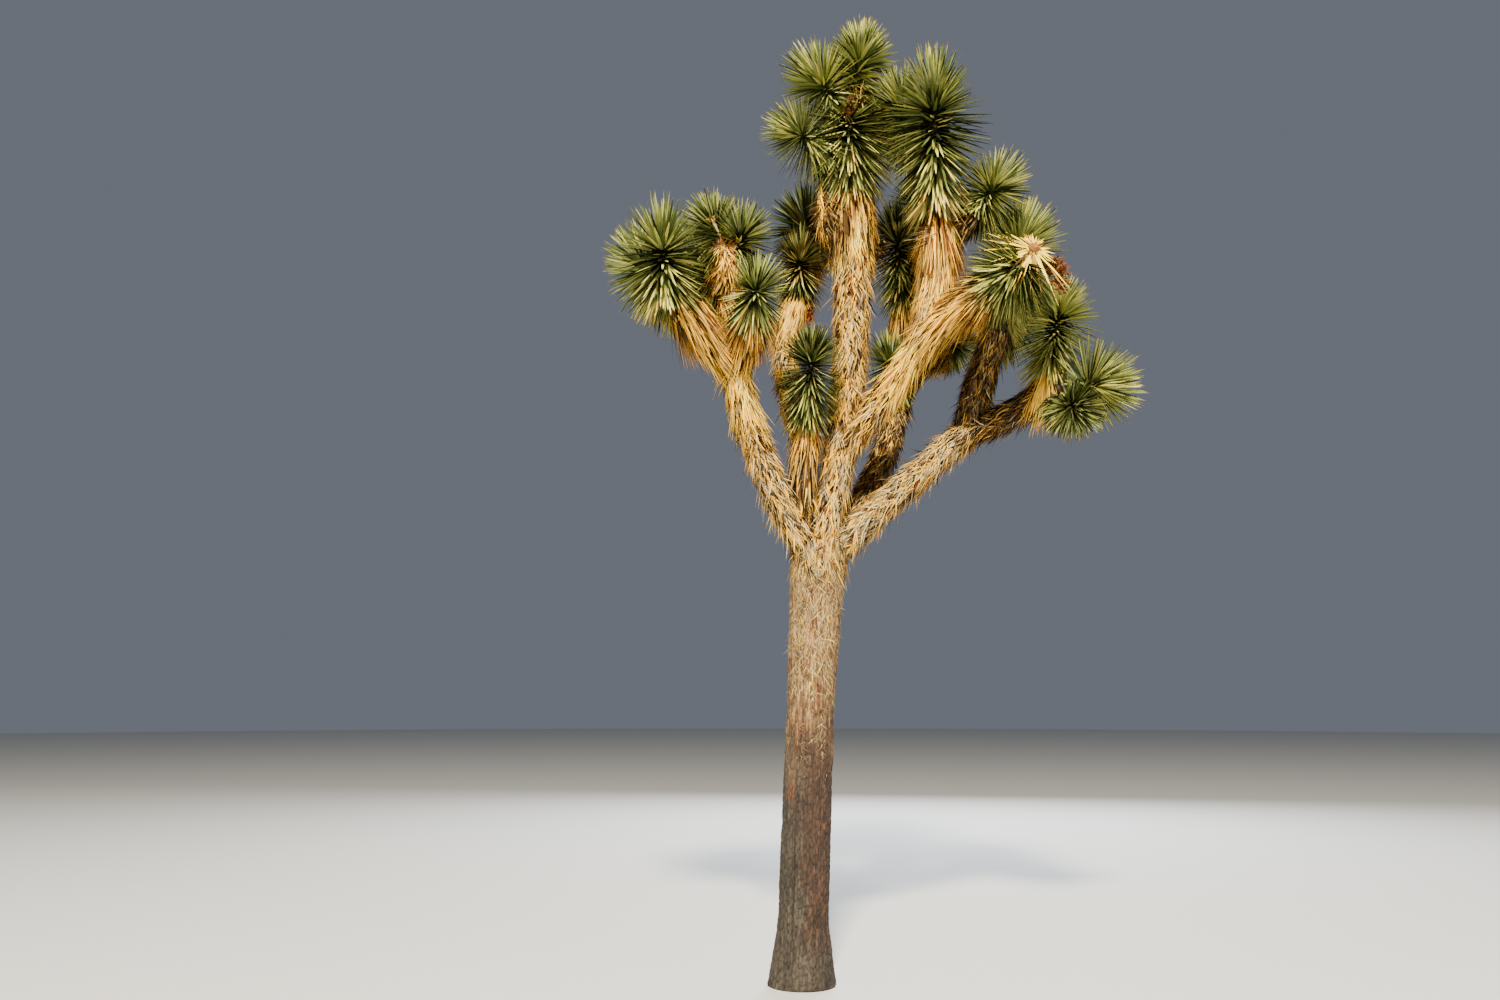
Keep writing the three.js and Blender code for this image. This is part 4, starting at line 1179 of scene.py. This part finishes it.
def grow_head(name, bough, salt):
    """A head's leaves and the stem that they stand on, as one piece."""
    surfaces = [live_leaves(name, bough, salt)]
    if name not in SLEEVED:
        stem = stems[name]
        surfaces.append(stem_tube(stem["foot"], stem["tip"], min(STEM_RADIUS, STEM_SHARE * stem["leaf"])))
    piece = make_piece(name + "_leaves", joined(surfaces), [*GREENS, head_stem])
    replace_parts(piece, name)


# Old flowers and broken tips

STAR_SHARES = {BLEACHED: 0.46, GOLD: 0.12, TAN: 0.24, BROWN: 0.12, DARK: 0.06}
CENTRE_SHARES = {BLEACHED: 0.1, TAN: 0.5, ROSE: 0.4}
RUSTY_SHARES = {RUST: 0.66, BROWN: 0.2, ROSE: 0.14}
TUFT_SHARES = {ROSE: 0.4, SILVER: 0.25, BLEACHED: 0.15, TAN: 0.2}
COLLAR_SHARES = {SILVER: 0.3, BLEACHED: 0.2, STRAW: 0.3, ROSE: 0.2}
BIT_KEEL = 0.4


def bits(centre, spread, count, lengths, widths, shares, outward=0.5, way=(0, 0, 0), lean=0.0):
    """Small dry scraps round a centre. A scrap lies within the spread at random, and its direction is
    random plus outward times the direction from the centre plus lean times the way."""
    tints = pick_tints(count, shares)
    place = unit(draw.normal(0, 1, (count, 3)))
    far = draw.random(count) ** 0.5
    roots = np.array(centre) + place * far[:, None] * np.array(spread)
    ways = unit(unit(draw.normal(0, 1, (count, 3))) + place * outward + np.array(way) * lean)
    flats = unit(draw.normal(0, 1, (count, 3)))
    long = draw.uniform(*lengths, count)
    bends = flats * draw.normal(0, 0.3, count)[:, None] * long[:, None]
    return dead_leaves(roots, ways, flats, long, draw.uniform(*widths, count), bends, tints, BIT_KEEL)


def rod(line, radii, tint):
    """A closed tube of ten sides along a line of points, with a radius at each."""
    line = np.array(line, float)
    forward = unit(np.gradient(line, axis=0))
    across = unit(np.cross(forward, (0.3, 1, 0.1)))
    up = np.cross(across, forward)
    angle = np.linspace(0, 2 * math.pi, 10, endpoint=False)[None, :, None]
    ring = across[:, None] * np.cos(angle) + up[:, None] * np.sin(angle)
    return tube(line[:, None] + ring * np.array(radii)[:, None, None], tint)


def star_leaves(centre, axis, count, lengths, cosines, shares, foot, cropped=(0, 0, 0)):
    """Leaves in a ring round a broken tip, leaf i at i golden angles. Each leans from the axis by its
    cosine, and is down to a third as long the more it points in the cropped direction."""
    axis = unit(axis)
    out = turned(*square_to(axis, (1, 0, 0.2)), np.arange(count) * GOLDEN_ANGLE)
    cosine = draw.uniform(*cosines, count)
    ways = unit(axis * cosine[:, None] + out * np.sqrt(1 - cosine**2)[:, None])
    crop = mix(1, 0.32, smooth_step(-0.45, 0.3, ways @ np.array(cropped, float)))
    long = draw.uniform(*lengths, count) * crop
    roots = np.array(centre) + out * foot + axis * draw.uniform(-0.03, 0.01, count)[:, None]
    bends = DOWN * (long * 0.12)[:, None]
    widths = draw.uniform(0.008, 0.012, count)
    flats = axis * np.ones((count, 1))
    return dead_leaves(roots, ways, flats, long, widths, bends, pick_tints(count, shares))


def right_flower_remains():
    """The broken tip of the right side head: a star of bleached leaves round a ring of short ones and a
    stump, and a bent stalk with rusty flowers at its end."""
    tip = np.array(PLACES["sideStemTop"]) + (0.02, -0.03, 0.06)
    axis = unit((0.16, -0.9, 0.3))
    stalk_end = np.array([1.402, -0.45, 3.75])
    stump = tip + np.outer([-0.2, -0.1, -0.02, 0.012, 0.03], axis)
    bent = mix(tip, stalk_end, np.array([0, 0.3, 0.6, 0.85, 1])[:, None])
    bent = bent + np.array([0, 0.015, 0.03, 0.02, 0])[:, None] * (0, 0, 1)
    flowers, low_flowers = mix(tip, stalk_end, 0.75), stalk_end + (-0.01, 0, -0.04)
    return joined([
        star_leaves(tip, axis, 88, (0.14, 0.31), (-0.3, 0.35), STAR_SHARES, 0.03, (0.6, 0, 0.8)),
        star_leaves(tip, axis, 30, (0.03, 0.06), (0.1, 0.7), CENTRE_SHARES, 0.026),
        rod(stump, [0.034, 0.034, 0.032, 0.028, 0.016], ROSE),
        rod(bent, [0.014, 0.012, 0.011, 0.009, 0.006], BROWN),
        bits(flowers, (0.07, 0.05, 0.05), 170, (0.015, 0.05), (0.008, 0.016), RUSTY_SHARES),
        bits(low_flowers, (0.05, 0.05, 0.09), 190, (0.015, 0.05), (0.008, 0.015), RUSTY_SHARES),
    ])


def left_flower_remains():
    """The left stub's end: a thin stalk with a few scraps at its tip, over a dead tuft and the collar of
    leaves that hang under it."""
    top = np.array(PLACES["leftStubTop"])
    thin_end = np.array([-0.485, -0.32, 4.105])
    bow = np.sin(np.linspace(0, math.pi, 7))[:, None] * (0.006, 0, 0)
    thin = mix(top, thin_end, np.linspace(-0.1, 1, 7)[:, None]) + bow
    tuft, collar = top + (0, 0, -0.01), top + (0, 0, 0.01)
    up = (0, 0, 1)
    return joined([
        rod(thin, [0.008, 0.007, 0.0065, 0.006, 0.006, 0.009, 0.004], SILVER),
        bits(tuft, (0.05, 0.05, 0.03), 200, (0.03, 0.08), (0.009, 0.016), TUFT_SHARES, 0.9, up, 0.3),
        star_leaves(collar, (0, -0.2, 1), 90, (0.08, 0.2), (-0.92, -0.3), COLLAR_SHARES, 0.035),
        bits(thin_end, (0.02, 0.02, 0.012), 26, (0.01, 0.03), (0.006, 0.01), {TAN: 0.6, BROWN: 0.4}),
    ])


# Dry scraps in the crown. Each group has its centre, its spread, how many there are, their lengths and
# widths, the shares of their colours, how far they point outwards, and a way with their lean towards it
CROWN_SCRAPS = [
    # Crumpled flowers between the top heads, and the thin stalks over them
    ((0.284, -0.25, 4.8), (0.035, 0.03, 0.06), 110, (0.015, 0.04), (0.006, 0.012),
     {BROWN: 0.6, RUST: 0.2, DARK: 0.2}, 0.5, (0, 0, 0), 0),
    ((0.344, -0.16, 4.9), (0.05, 0.04, 0.06), 44, (0.04, 0.1), (0.005, 0.008),
     {BROWN: 0.5, TAN: 0.4, GOLD: 0.1}, 0.5, (0, 0, 0), 0),
    # Dead leaves down the left of the crown's skirt, dark ones as painted shade and long light ones
    ((0.165, -0.03, 4.27), (0.04, 0.06, 0.14), 460, (0.05, 0.13), (0.007, 0.012),
     {BROWN: 0.38, DARK: 0.3, TAN: 0.2, GREY: 0.12}, 0.4, (0, 0, -1), 1.5),
    ((0.132, -0.03, 4.3), (0.014, 0.06, 0.15), 130, (0.1, 0.18), (0.008, 0.012),
     {GOLD: 0.4, STRAW: 0.3, TAN: 0.3}, 0.1, (0.1, 0, -1), 5),
    # A dark tuft at the right of the upper bough, and rusty flowers on the mid left arm
    ((0.475, 0.06, 4.08), (0.045, 0.05, 0.08), 150, (0.03, 0.08), (0.007, 0.013),
     {BROWN: 0.5, DARK: 0.4, TAN: 0.1}, 0.5, (0, 0, -1), 0.7),
    ((0.085, 0.24, 3.74), (0.02, 0.02, 0.05), 60, (0.015, 0.05), (0.007, 0.013),
     {RUST: 0.75, BROWN: 0.25}, 0.5, (0, 0, 0), 0),
]


# Camera, floor and light

CAMERA_PLACE = (-0.273, -6.9, 1.48)
CAMERA_RISE = math.atan(200 / 1250)
FLOOR_RADIUS = 60
FLOOR_CORNERS = 96


def set_camera():
    """At eye height, in front and a little left of the trunk, turned up by 9 degrees."""
    lens = bpy.data.cameras.new("camera")
    lens.sensor_width = 36
    lens.lens = 30
    camera = bpy.data.objects.new("camera", lens)
    camera.location = CAMERA_PLACE
    camera.rotation_euler = (math.pi / 2 + CAMERA_RISE, 0, 0)
    bpy.context.scene.collection.objects.link(camera)
    bpy.context.scene.camera = camera


def lay_floor():
    """A wide pale disc at ground level."""
    finish, _, shader = new_finish("pale_floor", 0.9)
    shader.inputs["Base Color"].default_value = (0.62, 0.61, 0.59, 1)
    angle = np.linspace(0, 2 * math.pi, FLOOR_CORNERS, endpoint=False)
    points = FLOOR_RADIUS * np.stack([np.cos(angle), np.sin(angle), 0 * angle], axis=1)
    mesh = bpy.data.meshes.new("floor")
    mesh.from_pydata(points.tolist(), [], [list(range(FLOOR_CORNERS))])
    mesh.materials.append(finish)
    floor = bpy.data.objects.new("floor", mesh)
    bpy.context.scene.collection.objects.link(floor)


def area_light(name, place, aim, size, power, colour):
    """A square lamp at a place, turned to face its aim."""
    light = bpy.data.lights.new(name, "AREA")
    light.size = size
    light.energy = power
    light.color = colour
    lamp = bpy.data.objects.new(name, light)
    way = np.array(aim, float) - np.array(place, float)
    lamp.location = place
    lamp.rotation_euler = (math.atan2(math.hypot(way[0], way[1]), -way[2]), 0, math.atan2(-way[0], way[1]))
    bpy.context.scene.collection.objects.link(lamp)


def set_light():
    """A warm key light high in front, a weak cool fill at the right, a cool light behind, and a dim
    cool light from all round."""
    world = bpy.data.worlds.new("studio")
    world.use_nodes = True
    background = world.node_tree.nodes["Background"]
    background.inputs["Color"].default_value = (0.76, 0.84, 1.0, 1)
    background.inputs["Strength"].default_value = 0.19
    bpy.context.scene.world = world
    area_light("key", (-1.1, -16, 15), (0.4, 0, 3.4), 2.0, 17200, (1.0, 0.91, 0.71))
    area_light("fill", (6, -5, 4), (0.4, 0, 3), 4, 90, (0.85, 0.92, 1.0))
    area_light("back", (2.5, 11, 7), (0.4, 0, 3.2), 6, 2700, (0.86, 0.93, 1.0))


# The whole tree

# How many boughs share one piece of thatch
BOUGHS_A_PIECE = 6

trunk_skin()
for limb_name in limbs:
    if limb_name != "trunk":
        bough_skin(limb_name)
make_piece("trunk_shag", joined([trunk_bits(), crotch_thatch()]), DEAD)

thatched = [row[0] for row in BOUGHS if row[0] not in SLEEVED.values()]
for first in range(0, len(thatched), BOUGHS_A_PIECE):
    group = [thatch(bough_name) for bough_name in thatched[first:first + BOUGHS_A_PIECE]]
    make_piece(f"thatch_{first // BOUGHS_A_PIECE + 1}", joined(group), DEAD)

ruffed = [
    row for row in HEADS
    if row[0] in SLEEVED or (row[1] not in SLEEVED.values() and row[0] not in RUFFLESS)
]
make_piece("head_collars", joined([ruff(*row[:3]) for row in ruffed]), DEAD)
for salt, row in enumerate(HEADS):
    grow_head(row[0], row[1], salt)

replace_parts(make_piece("right_flower_remains", right_flower_remains(), DEAD), "right_old_stalk")
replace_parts(make_piece("left_flower_remains", left_flower_remains(), DEAD), "left_old_stalk")
make_piece("crown_flower_remains", joined([bits(*scraps) for scraps in CROWN_SCRAPS]), DEAD)

set_camera()
lay_floor()
set_light()
